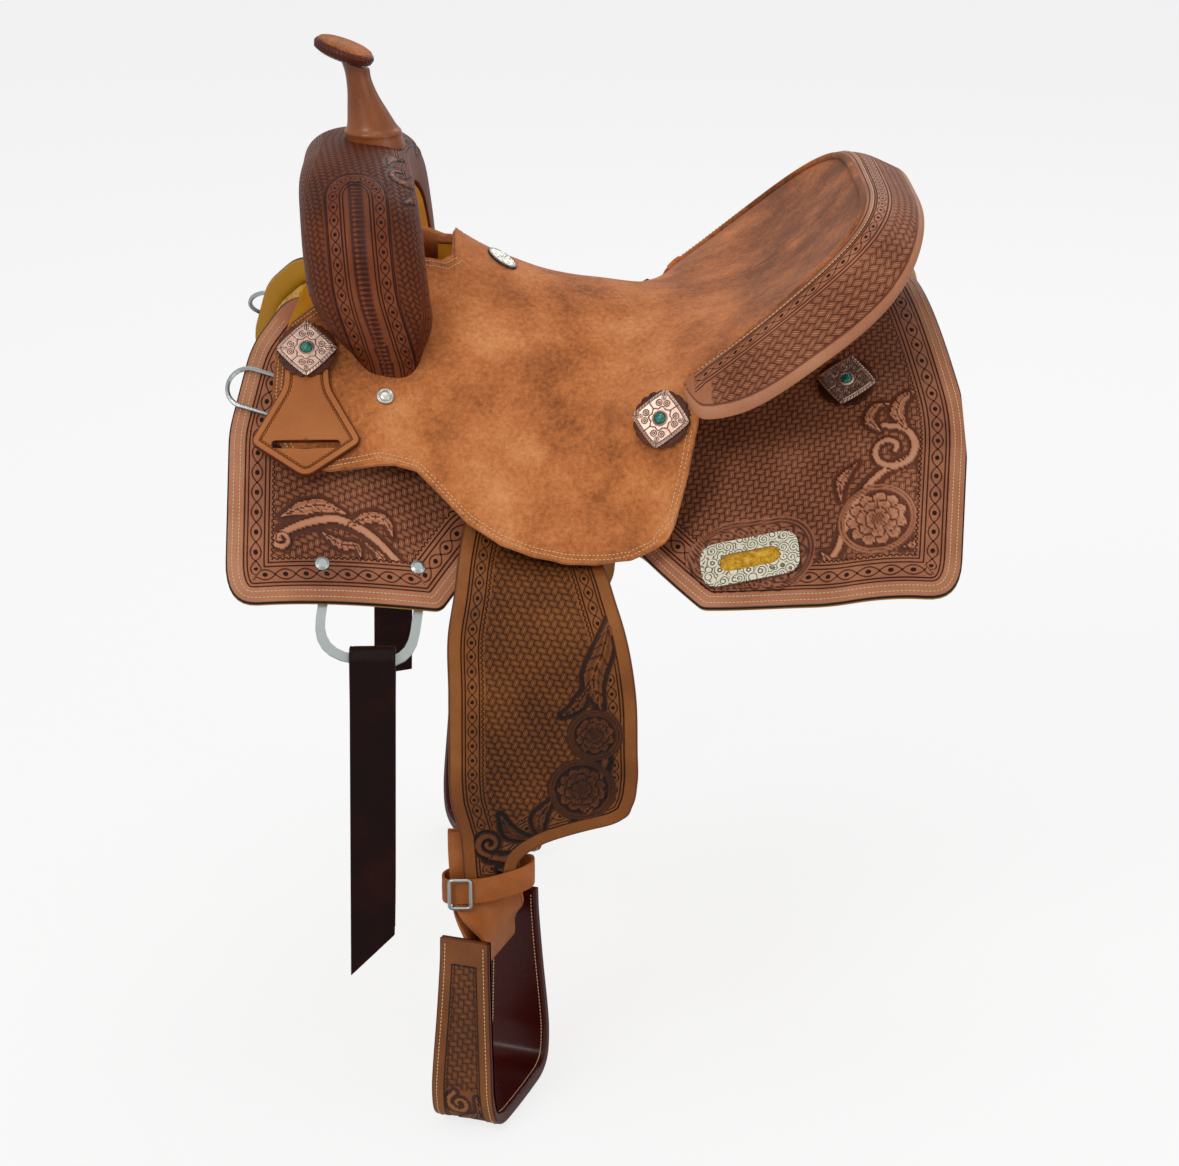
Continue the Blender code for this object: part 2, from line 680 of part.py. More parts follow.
def cantle():
    rim = rim_curve(43)
    rows = [roll_section(p.x, p.y, outward(rim, i)) for i, p in enumerate(rim) if p.x > 73]
    surface("cantle_roll", rows, "tooled")
    over_bars = raised(back, lambda x, y: 3 * GAP + 1.2 + through(BAR_THICKNESS, x))
    under_seat = raised(seat, -(SEAT_LEATHER + 2))
    shares = (0.955, 0.9, 0.83, 0.76, 0.7)
    rows = []
    for whole, p in zip(rim_curve(41), rim_curve(41, shares[0])):
        if whole.x < 100:
            continue
        foot = Vector((RIM_START, 0)).lerp(whole, shares[-1])
        top, low = float(seat(p.x, p.y)) - 9, float(over_bars(foot.x, foot.y))
        rows.append([(*p.lerp(foot, k / 4), top + (low - top) * k / 4) for k in range(5)])
    wall(surface("cantle_back", rows, "tooled", closed_v=False, caps=False), 2.5, 0)
    rows = []
    for whole in rim_curve(41):
        if whole.x < 106:
            continue
        at = [Vector((RIM_START, 0)).lerp(whole, share) for share in (0.878, 0.815, 0.75, 0.66, 0.58)]
        row = [(*p, float(under_seat(p.x, p.y))) for p in at]
        low = [Vector((RIM_START, 0)).lerp(whole, share) for share in (0.52, 0.66)]
        rows.append(row + [(*p, float(over_bars(p.x, p.y))) for p in low])
    surface("cantle_board", rows, "wood")
    front = [(-112, 0), (-112, -36), (-134, -56), (-136, -110), (48, -112), (62, -102)]
    behind = [(p.x, p.y) for p in rim_curve(31, 0.49) if p.x > 70 and p.y <= 0]
    ground = both_sides(front + behind)
    block("ground_seat", ground, under_seat,
          lambda x, y: np.minimum(over_bars(x, y), under_seat(x, y) - GROUND_SEAT), "wood",
          spaced(-136, 146, 35), (-96, -64, -48, -32, 0, 32, 48, 64, 96))


def seat_leather():
    rim = [(p.x, p.y) for p in rim_curve(41, 0.98) if p.x > 84 and p.y <= 0.01]
    outline = both_sides(list(SEAT_OUTLINE) + rim)
    fine = (25, 50, 75, 98, 118, 136, 150, 160, 168, 176, 185, 196, 212, 232)
    lines_y = sorted([0] + [-y for y in fine] + list(fine))
    leather = draped("seat_leather", outline, seat, SEAT_LEATHER, "rough",
                     spaced(-281, 229, 22), lines_y)
    envelope = surface("seat_cutter", fork_rows([18 * k for k in range(20)], COVER_OUTSIDE + 1), None)
    cut(leather, envelope)
    badge = surface("seat_badge", disc_rings(
        ((1, 0), (1, 1.2), (0.86, 2.2), (0.4, 2.6)),
        lambda a: 16 * 10.5 / math.hypot(10.5 * math.cos(a), 16 * math.sin(a)), 20), "steel")
    put(badge, seated(-77, -12, seat, 10, math.radians(-40)), GAP)
    button = surface("seat_button_left", disc_rings(
        ((1, 0), (1, 1.4), (0.8, 2.6), (0.45, 2.6), (0.35, 1.8)), lambda a: 7.4, 16), "steel")
    put(button, seated(-176, -154, seat, 8), GAP)
    far_copy(button, "seat_button_right")


def diamond(half, squareness=1.25):
    """Radius of a diamond with slightly bowed sides, at an angle."""
    def radius(a):
        n = squareness
        return half / (abs(math.cos(a)) ** n + abs(math.sin(a)) ** n) ** (1 / n)
    return radius


def concho_spots():
    """Frames and lifts of the three conchos on the near side."""
    return (("front", seated(-242, -127, seat, 26), 6.2),
            ("middle", seated(56, -188, seat, 26), GAP),
            ("rear", seated(216, -127, back, 24), GAP))


def conchos():
    for place, frame, lift in concho_spots():
        rosette = surface(f"rosette_{place}_left", disc_rings(
            ((1, 0), (1, 2.4)), lambda a: diamond(28, 1.5)(a) * (1 + 0.03 * math.cos(12 * a)), 24),
            "tooled")
        put(rosette, frame, lift)
        plate = [(r, z) for r, z in ((1, 0), (1, 1.6), (0.84, 2.8), (0.42, 2.4))]
        rows = disc_rings(plate, diamond(24.5, 1.3), 16)
        rows += disc_rings(((1, 2.6), (0.86, 4.2), (0.5, 5.4)), lambda a: 6.0, 16)
        concho = put(surface(f"concho_{place}_left", rows, "copper"), frame, lift + 2.4 + 0.4)
        far_copy(rosette, f"rosette_{place}_right")
        far_copy(concho, f"concho_{place}_right")


def latigo_keeper():
    outline = rounded(((-17, 14, 12), (17, 14, 12), (20, -34, 30), (47, -84, 8), (0, -117, 14),
                       (-47, -84, 8), (-20, -34, 30)), 4)
    slot = [(x, y - 86) for x, y in slot_outline(56, 7.2)]
    keeper = flat_plate("latigo_keeper_left", [outline, slot], 4.6, "plain")
    frame = concho_spots()[0][1]
    down = frame.to_3x3().inverted() @ Vector((0, 0, -1))
    hanging = Matrix.Rotation(math.atan2(down.x, -down.y), 4, "Z")
    put(keeper, frame @ hanging, GAP + 3)
    far_copy(keeper, "latigo_keeper_right")


def breast_dee():
    """Wire dee whose straight bar lies under the front edge of the jockey."""
    frame = seated(-282, -136, back, 24, math.radians(-16))
    half, reach = 18, 12
    bow = [(half * math.sin(a), half * math.cos(a)) for a in np.linspace(0, math.pi, 13)]
    ring = [Vector((-reach - s * 0.9, c, 0)) for s, c in bow] + [Vector((20, -half, 0)),
                                                              Vector((20, half, 0))]
    points = [frame @ ((p + Vector((0, 0, 2.9))) * MM) / MM for p in ring]
    dee = wire("breast_dee_left", points, 2.1, "steel")
    other = far_copy(dee, "breast_dee_right")
    bar = (points[-1] + points[-2]) / 2
    on_pivot("breast_dee_pivot_left", bar, [dee])
    on_pivot("breast_dee_pivot_right", (bar.x, -bar.y, bar.z), [other])


def dee_frame():
    """Plane of the rigging dee: midway between skirt and fleece, at the skirt's edge."""
    plane = raised(back, -(SKIRT_LEATHER + PLATE_SPACE / 2))
    x, y = DEE_X, -246
    gx = float(plane(x + 30, y) - plane(x - 30, y)) / 60
    gy = float(plane(x, y + 1) - plane(x, y - 1)) / 2
    right = Vector((1, 0, gx)).normalized()
    up = Vector((-gx, -gy, 1)).cross(right).normalized()
    frame = Matrix((right, up, right.cross(up))).transposed().to_4x4()
    return Matrix.Translation(Vector((x, y, float(plane(x, y)))) * MM) @ frame


def rigging_dee():
    half, low, high = DEE_WIDTH / 2, -61, 24
    outer = rounded(((-half, high, 5), (-half, low, 36), (half, low, 36), (half, high, 5),
                     (half - DEE_BAR, high, 2), (half - DEE_BAR, low + DEE_BAR, 28),
                     (-half + DEE_BAR, low + DEE_BAR, 28), (-half + DEE_BAR, high, 2)), 6)
    dee = flat_plate("rigging_dee_left", [outer], DEE_PLATE, "steel")
    put(dee, dee_frame(), 0)
    far_copy(dee, "rigging_dee_right")
    for place, x, y in (("front", -228, -237), ("rear", -149, -230)):
        rivet = surface(f"rivet_{place}_left", disc_rings(((1, 0), (1, 0.8), (0.6, 2.0)),
                                                          lambda a: 6.0, 14), "steel")
        put(rivet, seated(x, y, back, 6), GAP)
        far_copy(rivet, f"rivet_{place}_right")


def strap_path(front_length, rear_length):
    """A strap folded over the dee's lower bar, as (y, z) from the bar's centre."""
    radius, near = 10.0, 3.2
    front = [(-near, -front_length * s) for s in (1, 0.75, 0.5, 0.25)]
    over = [(-radius * math.cos(a), radius * math.sin(a)) for a in np.linspace(0, math.pi, 9)]
    rear = [(near, -rear_length * s) for s in (0.25, 0.5, 0.75, 1)]
    return front + [(-near - 0.6, -36), (-8, -15)] + over + [(8, -15), (near + 0.6, -36)] + rear


def hanging_strap(name, front_length, rear_length, slant, look):
    """Latigo or billet: its loop over the dee, and its two runs; slant cuts the tip."""
    bar = dee_bar()
    rows = []
    path = strap_path(front_length, rear_length)
    for i, (y, z) in enumerate(path):
        row = []
        for share in (-0.5, 0, 0.5):
            tip = slant * (0.5 + share) * (1 if i == 0 else 0.6 if i == len(path) - 1 else 0)
            lean = -0.02 * min(0, z)
            row.append((bar.x + 8 + share * STRAP_WIDTH - lean, bar.y + y, bar.z + z + tip))
        rows.append(row)
    strap = surface(name, rows, look, closed_v=False, caps=False)
    return wall(strap, STRAP_LEATHER, 0)


def dee_bar():
    """Centre of the dee's lower bar."""
    return dee_frame() @ (Vector((0, -61 + DEE_BAR / 2, 0)) * MM) / MM


def straps():
    latigo = hanging_strap("latigo", 286, 266, 38, "latigo")
    billet = hanging_strap("billet_before_mirror", 240, 236, 10, "latigo")
    other = far_copy(billet, "off_billet")
    bpy.data.objects.remove(billet, do_unlink=True)
    at = dee_bar()
    on_pivot("latigo_pivot", at, [latigo])
    on_pivot("off_billet_pivot", (at.x, -at.y, at.z), [other])


def fender_place(x, z):
    return x, through(FENDER_LINE, z), z


FENDER_OUTLINE = rounded((
    (-115, -91, 0), (-124, -150, 30), (-125, -285, 40), (-115, -333, 20), (-114, -361, 0),
    (-69, -363, 0), (-66, -350, 12), (-36, -337, 30), (18, -322, 26), (33, -283, 40),
    (31, -200, 60), (13, -122, 30), (4, -106, 0)), 3)
HANGER_OUTLINE = rounded((
    (-84, -150, 12), (-104, -190, 30), (-115, -220.5, 0), (5, -239.5, 0), (-4, -190, 30),
    (-14, -150, 12)), 3)


def fenders():
    hanger = draped("stirrup_leather_top_left", HANGER_OUTLINE, raised(back, 15.5),
                    FENDER_LEATHER, "tooled", spaced(-115, 5, 30), spaced(-239, -150, 22))
    fender = sheet("fender_left", FENDER_OUTLINE, fender_place, FENDER_LEATHER, "tooled",
                   spaced(-125, 33, 40), (-330, -295, -250, -210, -180, -160, -142, -126, -112, -101))
    leather = stirrup_leather()
    strap, buckle = hobble()
    iron, bolt = stirrup()
    left = (hanger, fender, leather, strap, buckle, iron, bolt)
    right = [far_copy(p, p.name.replace("_left", "_right")) for p in left]
    for side, pieces in (("left", left), ("right", right)):
        s = 1 if side == "left" else -1
        on_pivot(f"fender_swing_{side}", (HANG_X, HANG_Y * s, -30), pieces[:1])
        on_pivot(f"fender_lift_{side}", (FOLD[0], FOLD[1] * s, FOLD[2]), pieces[1:5])
        on_pivot(f"stirrup_pivot_{side}", (BOLT[0], BOLT[1] * s, BOLT[2]), pieces[5:])


def stirrup_leather():
    """The lower strap: two runs behind the fender, turning to loop round the bolt."""
    radius, near = 10.5, 3.6
    loop = [(radius * math.cos(a), radius * math.sin(a))
            for a in np.linspace(math.radians(-20), math.radians(-160), 8)]
    drop = (100, 78, 56, 44, 32, 18)
    down = [(near + (radius - near) * float(ease((60 - d) / 60)), d) for d in drop]
    path = down + [(n, z) for n, z in loop] + [(-n, z) for n, z in reversed(down)]
    rows = []
    for n, z in path:
        turn = STIRRUP_TURN * float(1 - ease((z - 8) / 28))
        wide = Vector((math.cos(turn), math.sin(turn), 0))
        square = Vector((-math.sin(turn), math.cos(turn), 0))
        away = float(ease(z / 90))
        centre = Vector((BOLT[0] - 5 * away, BOLT[1] + 2.5 * away, BOLT[2] + z))
        rows.append([centre + wide * LEATHER_WIDTH * share + square * n for share in (-0.5, 0, 0.5)])
    leather = surface("stirrup_leather_left", rows, "plain", closed_v=False, caps=False)
    return wall(leather, 3.6, 0)


def hobble():
    """Hobble strap round the stirrup leather under the fender, and its buckle."""
    centre = Vector((-93, -267.5, -379))
    rows = []
    for a in np.linspace(0, math.tau, 24, endpoint=False):
        c, s = math.cos(a), math.sin(a)
        x = 37 * math.copysign(abs(c) ** 0.6, c)
        y = 14.5 * math.copysign(abs(s) ** 0.7, s)
        lean = 0.12 * x
        section = ((0, -11), (2.6, -11), (2.6, 11), (0, 11))
        n = Vector((c, s * 1.6, 0)).normalized()
        rows.append([centre + Vector((x, y, lean + h)) + n * t for t, h in section])
    rows.append(rows[0])
    strap = ring_surface("hobble_strap_left", rows[:-1], "plain")
    half_w, half_h = 9, 13
    corners = ((-half_w, -half_h), (half_w, -half_h), (half_w, half_h), (-half_w, half_h))
    at = centre + Vector((-24, -19.8, -2.5))
    points = [at + Vector((u, 0, v)) for u, v in corners]
    buckle = wire("hobble_buckle_left", points, 1.6, "steel")
    return strap, buckle


def ring_surface(name, rows, look):
    """A closed ring: rows joined round, the last to the first."""
    count = len(rows[0])
    bm = bmesh.new()
    grid = [[bm.verts.new(Vector(p) * MM) for p in row] for row in rows]
    for i in range(len(rows)):
        k = (i + 1) % len(rows)
        for j in range(count):
            m = (j + 1) % count
            bm.faces.new((grid[i][j], grid[i][m], grid[k][m], grid[k][j]))
    bmesh.ops.recalc_face_normals(bm, faces=bm.faces[:])
    return add_object(name, bm, look)


STIRRUP_SIDE = ((-60.5, 25, 44, 7), (-61.5, 0, 45, 7), (-65, -45, 49, 7), (-69, -90, 54, 7.5),
                (-70, -115, 56, 8), (-64, -137, 58, 9), (-49, -148, 59, 10), (-24, -150, 60, 10))


def stirrup():
    """Bell stirrup: a broad strip bent down, under the foot and up again."""
    half = [Vector(p) for p in STIRRUP_SIDE]
    whole = half + [Vector((-p[0], *p[1:])) for p in reversed(half)]
    span = Vector((math.cos(STIRRUP_TURN), math.sin(STIRRUP_TURN), 0))
    wide = Vector((math.sin(STIRRUP_TURN), -math.cos(STIRRUP_TURN), 0))
    rows = []
    for i, p in enumerate(whole):
        ahead = whole[min(i + 1, len(whole) - 1)] - whole[max(i - 1, 0)]
        inward = Vector((-ahead[1], ahead[0])).normalized()
        width, thick = p[2] / 2, p[3]
        edge = 1.6
        section = ((-width, edge), (-width + edge, 0), (width - edge, 0), (width, edge),
                   (width, thick - edge), (width - edge, thick), (-width + edge, thick),
                   (-width, thick - edge))
        rows.append([Vector(BOLT) + span * (p[0] + inward.x * d) + Vector((0, 0, p[1] + inward.y * d))
                     + wide * w for w, d in section])
    iron = surface("stirrup_left", rows, "plain")
    reach = STIRRUP_SPAN / 2
    cutter = cylinder("bolt_hole", 4.9, Vector(BOLT) - span * reach, Vector(BOLT) + span * reach, None)
    cut(iron, cutter)
    bolt = cylinder("stirrup_bolt_left", 4.5, Vector(BOLT) - span * (reach - 0.5),
                    Vector(BOLT) + span * (reach - 0.5), "steel", 16)
    return iron, bolt


def build():
    clear_scene()
    skirts()
    rear_cinch_plate()
    tree_bars()
    fork()
    horn()
    cantle()
    seat_leather()
    conchos()
    latigo_keeper()
    breast_dee()
    rigging_dee()
    straps()
    fenders()


build()
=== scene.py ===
# %% [markdown]
# # A barrel racing saddle
# The saddle is leather laid over a wooden tree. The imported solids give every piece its
# place, and this script dresses them: each leather, plate and strap is worked out here as
# a surface with numpy, carved where a saddler would cut and bevel it, and finished with a
# procedural leather, wool or metal.

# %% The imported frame
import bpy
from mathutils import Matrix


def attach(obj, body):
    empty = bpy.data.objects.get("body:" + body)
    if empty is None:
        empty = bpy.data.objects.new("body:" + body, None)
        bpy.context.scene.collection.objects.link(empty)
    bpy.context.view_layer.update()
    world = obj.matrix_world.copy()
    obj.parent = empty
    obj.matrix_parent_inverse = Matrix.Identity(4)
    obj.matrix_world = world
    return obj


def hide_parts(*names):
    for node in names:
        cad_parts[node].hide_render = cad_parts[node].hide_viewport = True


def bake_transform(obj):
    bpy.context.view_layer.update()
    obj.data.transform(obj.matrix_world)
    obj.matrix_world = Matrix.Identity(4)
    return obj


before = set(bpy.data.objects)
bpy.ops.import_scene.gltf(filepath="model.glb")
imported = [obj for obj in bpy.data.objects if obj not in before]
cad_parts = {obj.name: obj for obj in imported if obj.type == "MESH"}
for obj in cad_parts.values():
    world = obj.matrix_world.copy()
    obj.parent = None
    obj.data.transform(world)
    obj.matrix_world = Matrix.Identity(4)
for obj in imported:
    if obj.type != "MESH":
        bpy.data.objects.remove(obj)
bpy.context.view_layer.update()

# %% The tools used here
import math

import bpy
import numpy as np

MM = 0.001
SIDES = (("left", 1), ("right", -1))
UP, OVER = np.array((0, 0, 1.0)), np.array((0, 1.0, 0))

# %% [markdown]
# ## Camera, floor and light
# A product photograph is taken from a little above, with a long lens, on a white ground.
# The world is white to the camera, and only half as bright on the saddle, so that the
# lamps can still shape it. The floor is pale and takes a soft shadow.

# %% Camera
def place_camera(azimuth, elevation, distance, target, lens):
    """Stands off the target by spherical angles and looks at it."""
    a, e = math.radians(azimuth), math.radians(elevation)
    away = np.array([-math.sin(a) * math.cos(e), -math.cos(a) * math.cos(e), math.sin(e)])
    data = bpy.data.cameras.new("camera")
    data.lens, data.sensor_width, data.clip_end = lens, 36, 50
    camera = bpy.data.objects.new("camera", data)
    bpy.context.scene.collection.objects.link(camera)
    camera.location = np.array(target) + away * distance
    camera.rotation_euler = (math.radians(90) - e, 0, -a)
    bpy.context.scene.camera = camera


place_camera(1.5, 20, 3.0, (0, 0, -0.207), 100.7)
print("camera", [round(v, 2) for v in bpy.context.scene.camera.location])

# %% Node graphs in short calls
class Graph:
    """Adds nodes to a tree: each call makes one node and returns what comes out of it. An
    operation of the Math node is called by its own name, as in g.multiply(a, b)."""

    def __init__(self, tree):
        self.tree = tree

    def __getattr__(self, operation):
        def math_node(*inputs, clamp=False):
            return self.node("Math", *inputs, operation=operation.upper(), use_clamp=clamp)
        return math_node

    def node(self, kind, *inputs, **settings):
        made = self.tree.nodes.new("ShaderNode" + kind)
        for key, value in settings.items():
            setattr(made, key, value)
        for socket, value in zip(made.inputs, inputs):
            self.join(value, socket)
        return made.outputs[0]

    def join(self, value, socket):
        if isinstance(value, bpy.types.NodeSocket):
            self.tree.links.new(value, socket)
        elif value is not None:
            socket.default_value = value

    def swing(self, value, size, level, clamp=False):
        """level + size x (value - 0.5): a number from 0 to 1 made to swing about a level."""
        return self.multiply_add(self.subtract(value, 0.5), size, level, clamp=clamp)

    def split(self, vector):
        """The x, y and z of a vector."""
        parts = self.tree.nodes.new("ShaderNodeSeparateXYZ")
        self.join(vector, parts.inputs[0])
        return parts.outputs

    def blend(self, share, a, b):
        """Colour a at share 0, b at share 1."""
        mixer = self.tree.nodes.new("ShaderNodeMix")
        mixer.data_type = "RGBA"
        for index, value in ((0, share), (6, a), (7, b)):
            self.join(value, mixer.inputs[index])
        return mixer.outputs[2]

    def ramp(self, value, places, colours):
        """Colour that runs through these colours at these places."""
        node = self.tree.nodes.new("ShaderNodeValToRGB")
        elements = node.color_ramp.elements
        while len(elements) < len(places):
            elements.new(0.5)
        for element, place, colour in zip(elements, places, colours):
            element.position, element.color = place, rgb(*colour)
        self.join(value, node.inputs[0])
        return node.outputs[0]

    def noise(self, vector, scale, detail=3.0, roughness=0.55):
        node = self.tree.nodes.new("ShaderNodeTexNoise")
        self.join(vector, node.inputs["Vector"])
        node.inputs["Scale"].default_value = scale
        node.inputs["Detail"].default_value = detail
        node.inputs["Roughness"].default_value = roughness
        return node.outputs[0]


def rgb(red, green, blue):
    """A colour written as it looks, 0 to 255, in the linear values that shaders take."""
    return (*[(v / 255) ** 2.2 for v in (red, green, blue)], 1)


# %% World, lamps and floor
def white_world():
    world = bpy.data.worlds.new("studio")
    bpy.context.scene.world = world
    world.use_nodes = True
    g = Graph(world.node_tree)
    path = world.node_tree.nodes.new("ShaderNodeLightPath")
    seen = g.maximum(path.outputs["Is Camera Ray"], path.outputs["Is Transmission Ray"])
    seen = g.maximum(seen, g.multiply(path.outputs["Is Glossy Ray"], 0.5))
    ground = world.node_tree.nodes["Background"]
    ground.inputs["Color"].default_value = (1, 1, 1, 1)
    g.join(g.multiply_add(seen, 0.58, 0.42), ground.inputs["Strength"])


def lamp(name, place, target, size, power):
    data = bpy.data.lights.new(name, "AREA")
    data.shape, data.size, data.energy = "DISK", size, power
    obj = bpy.data.objects.new(name, data)
    bpy.context.scene.collection.objects.link(obj)
    away = np.array(place, float) - np.array(target, float)
    obj.location = place
    flat = math.hypot(away[0], away[1])
    obj.rotation_euler = (math.atan2(flat, away[2]), 0, math.atan2(away[0], -away[1]))


def pale_floor(level):
    material = bpy.data.materials.new("floor_paper")
    material.use_nodes = True
    g = Graph(material.node_tree)
    shader = material.node_tree.nodes["Principled BSDF"]
    shader.inputs["Base Color"].default_value = (0.9, 0.9, 0.9, 1)
    shader.inputs["Roughness"].default_value = 0.9
    path = material.node_tree.nodes.new("ShaderNodeLightPath")
    glow = g.node("Emission", (1, 1, 1, 1), 1.0)
    mixer = material.node_tree.nodes.new("ShaderNodeMixShader")
    seen = g.multiply(path.outputs["Is Camera Ray"], 0.8)
    g.join(seen, mixer.inputs[0])
    g.join(shader.outputs[0], mixer.inputs[1])
    g.join(glow, mixer.inputs[2])
    g.join(mixer.outputs[0], material.node_tree.nodes["Material Output"].inputs[0])
    mesh = bpy.data.meshes.new("floor")
    across = np.linspace(-6, 6, 3)
    points = [(x, y, level) for x in across for y in across]
    mesh.from_pydata(points, [], [(0, 3, 4, 1), (1, 4, 5, 2), (3, 6, 7, 4), (4, 7, 8, 5)])
    mesh.materials.append(material)
    floor = bpy.data.objects.new("floor", mesh)
    bpy.context.scene.collection.objects.link(floor)


white_world()
pale_floor(-0.586)
lamp("key", (-1.6, -2.6, 2.2), (0, 0, -0.1), 1.6, 44)
lamp("fill", (2.4, -2.0, 0.6), (0, 0, -0.1), 2.0, 13)
lamp("rim", (0.8, 2.4, 2.0), (0, 0, 0), 1.6, 22)
lamp("top", (0, -0.3, 2.8), (0, 0, 0), 1.8, 14)
bpy.context.scene.view_settings.view_transform = "Standard"

# %% [markdown]
# ## The shapes everything lies on
# The horse's back, the seat and the cantle's rim are formulas. A leather is a formula
# too: its outline, and the surface it lies on. They match the solids to a fraction of a
# millimetre, because both come from the same numbers.

# %% Curves
def ease(t):
    """0 to 1 with level ends."""
    t = np.clip(t, 0, 1)
    return t * t * (3 - 2 * t)


def through(points, x):
    """Smooth curve through points, a cubic between each pair with the slope of its neighbours."""
    px, pz = np.array(points, float).T
    slope = np.gradient(pz, px)
    i = np.clip(np.searchsorted(px, x) - 1, 0, len(px) - 2)
    width = px[i + 1] - px[i]
    t = np.clip((x - px[i]) / width, 0, 1)
    ends = (2 * t**3 - 3 * t**2 + 1) * pz[i] + (3 * t**2 - 2 * t**3) * pz[i + 1]
    return ends + width * ((t**3 - 2 * t**2 + t) * slope[i] + (t**3 - t**2) * slope[i + 1])

def bell(x, middle, width):
    """A hump one high: e to the minus squared distance from its middle, over the width."""
    return np.exp(-((x - middle) ** 2) / width)

def turn_in(count):
    """A full turn in equal steps."""
    return np.arange(count) * math.tau / count

def run_along(line):
    """Length along a line up to each of its points."""
    return np.r_[0, np.cumsum(np.linalg.norm(np.diff(line, axis=0), axis=1))]

def run_across(points):
    """Length across a grid of points, from the first of each row."""
    step = np.linalg.norm(np.diff(points, axis=1), axis=2)
    return np.concatenate([np.zeros((len(points), 1)), np.cumsum(step, 1)], 1)


# %% The back of the horse, as the skirts lie on it
RIDGE_HEIGHT, SIDE_SLOPE, RIDGE_WIDTH = (132, 38, 82), (1.15, 1.04, 0.96), (42, 82, 110)


def along_back(x, values):
    """Front, middle and rear value, eased between them."""
    front, middle, rear = values
    to_front = front + (middle - front) * ease((x + 300) / 300)
    return np.where(x < 0, to_front, middle + (rear - middle) * ease(x / 280))


def back(x, y):
    """Height less a hyperbola across: round on the ridge, straight down the sides."""
    w = along_back(x, RIDGE_WIDTH)
    return along_back(x, RIDGE_HEIGHT) - along_back(x, SIDE_SLOPE) * (np.sqrt(y * y + w * w) - w)


def slopes(surface, x, y, e=0.5):
    across = (surface(x + e, y) - surface(x - e, y)) / (2 * e)
    return across, (surface(x, y + e) - surface(x, y - e)) / (2 * e)


def raised(surface, distance):
    """A surface at this distance from another, measured square to it."""
    def height(x, y):
        gx, gy = slopes(surface, x, y)
        rise = distance(x, y) if callable(distance) else distance
        return surface(x, y) + rise * np.sqrt(1 + gx * gx + gy * gy)
    return height


# %% The seat, with its dish and the jockeys below it
CROWN = ((-180, 164), (-139, 142), (-117, 124), (-90, 106), (-62, 91.5), (-42, 82.5),
    (-14, 75), (13, 71), (47, 67), (75, 66.5), (300, 66.5))
CROWN_WIDTH = ((-200, 38), (-140, 42), (-60, 60), (0, 85), (63, 110), (100, 110))
CROWN_SLOPE = ((-200, 1.25), (-140, 1.2), (-60, 1.0), (-10, 0.9), (63, 0.457), (100, 0.457))
JOCKEY_STAND = ((-320, 12), (-250, 14), (-190, 22), (-120, 34), (-50, 38), (10, 34),
    (60, 20), (110, 14))
RIM_START, RIM_LENGTH, RIM_WIDTH, SQUARE = 63, 169, 178, 4.0


def rim_height(x):
    """The rim rises to the rear by a power just over one."""
    return 29.5 + 139 * np.clip((x - RIM_START) / RIM_LENGTH, 0, 1) ** 1.1


def seat_top(x, y):
    """A crown across the front, easing into a dish that climbs to the squared oval rim."""
    w = through(CROWN_WIDTH, x)
    crown = through(CROWN, x) - through(CROWN_SLOPE, x) * (np.sqrt(y * y + w * w) - w)
    u = np.maximum(0, x - RIM_START) / RIM_LENGTH
    share = (u**SQUARE + (np.abs(y) / RIM_WIDTH) ** SQUARE) ** (1 / SQUARE) + 1e-6
    rim = rim_height(RIM_START + np.maximum(0, x - RIM_START) / share)
    dish = 66.5 + (rim - 66.5) * np.minimum(share, 1.02) ** 2.2
    fall = 0.035 * ease((x + 40) / 90) * np.maximum(0, (share - 0.95) * RIM_WIDTH) ** 2
    return crown + (dish - crown) * ease((x - 40) / 50) - fall


def seat(x, y):
    """The higher of the seat and the jockeys, with a soft step of 14 mm between them."""
    high, reach = seat_top(x, y), 14
    low = raised(back, lambda a, b: through(JOCKEY_STAND, a))(x, y)
    h = np.clip(0.5 + 0.5 * (high - low) / reach, 0, 1)
    return low + (high - low) * h + reach * h * (1 - h)


def rim_curve(count, share=1.0):
    """The rim in plan from the near tip to the far tip, evenly spaced."""
    t = np.sin(np.linspace(0, 1, 600) * math.pi / 2) ** 2 * math.pi / 2
    x = RIM_START + share * RIM_LENGTH * np.sin(t) ** (2 / SQUARE)
    y = -share * RIM_WIDTH * np.cos(t) ** (2 / SQUARE)
    half = np.stack([x, y], -1)
    return evenly(np.concatenate([half, half[-2::-1] * [1, -1]]), count)


def evenly(line, count):
    """The same line with this many points, evenly spaced along it."""
    run = run_along(line)
    at = np.linspace(0, run[-1], count)
    return np.stack([np.interp(at, run, line[:, k]) for k in range(line.shape[1])], -1)


def rounded(corners, steps=8):
    """A closed outline whose corners (x, y, radius) are turned into arcs."""
    corners = np.array(corners, float)
    here, r = corners[:, :2], corners[:, 2]
    before, after = np.roll(here, 1, 0) - here, np.roll(here, -1, 0) - here
    lb, la = np.linalg.norm(before, axis=1), np.linalg.norm(after, axis=1)
    half = 0.5 * np.arccos(np.clip((before * after).sum(1) / (lb * la), -1, 1))
    reach = np.minimum(np.minimum(r / np.tan(half), lb * 0.49), la * 0.49)
    start = here + before * (reach / lb)[:, None]
    end = here + after * (reach / la)[:, None]
    t = np.linspace(0, 1, steps + 1)[None, :, None]
    arcs = start[:, None] * (1 - t) ** 2 + here[:, None] * 2 * t * (1 - t) + end[:, None] * t**2
    keep = (np.arange(steps + 1)[None] == 0) | (reach > 0)[:, None]
    return arcs[keep]


print("seat at its lowest", round(float(seat(np.array(60.0), np.array(0.0))), 1), "mm")

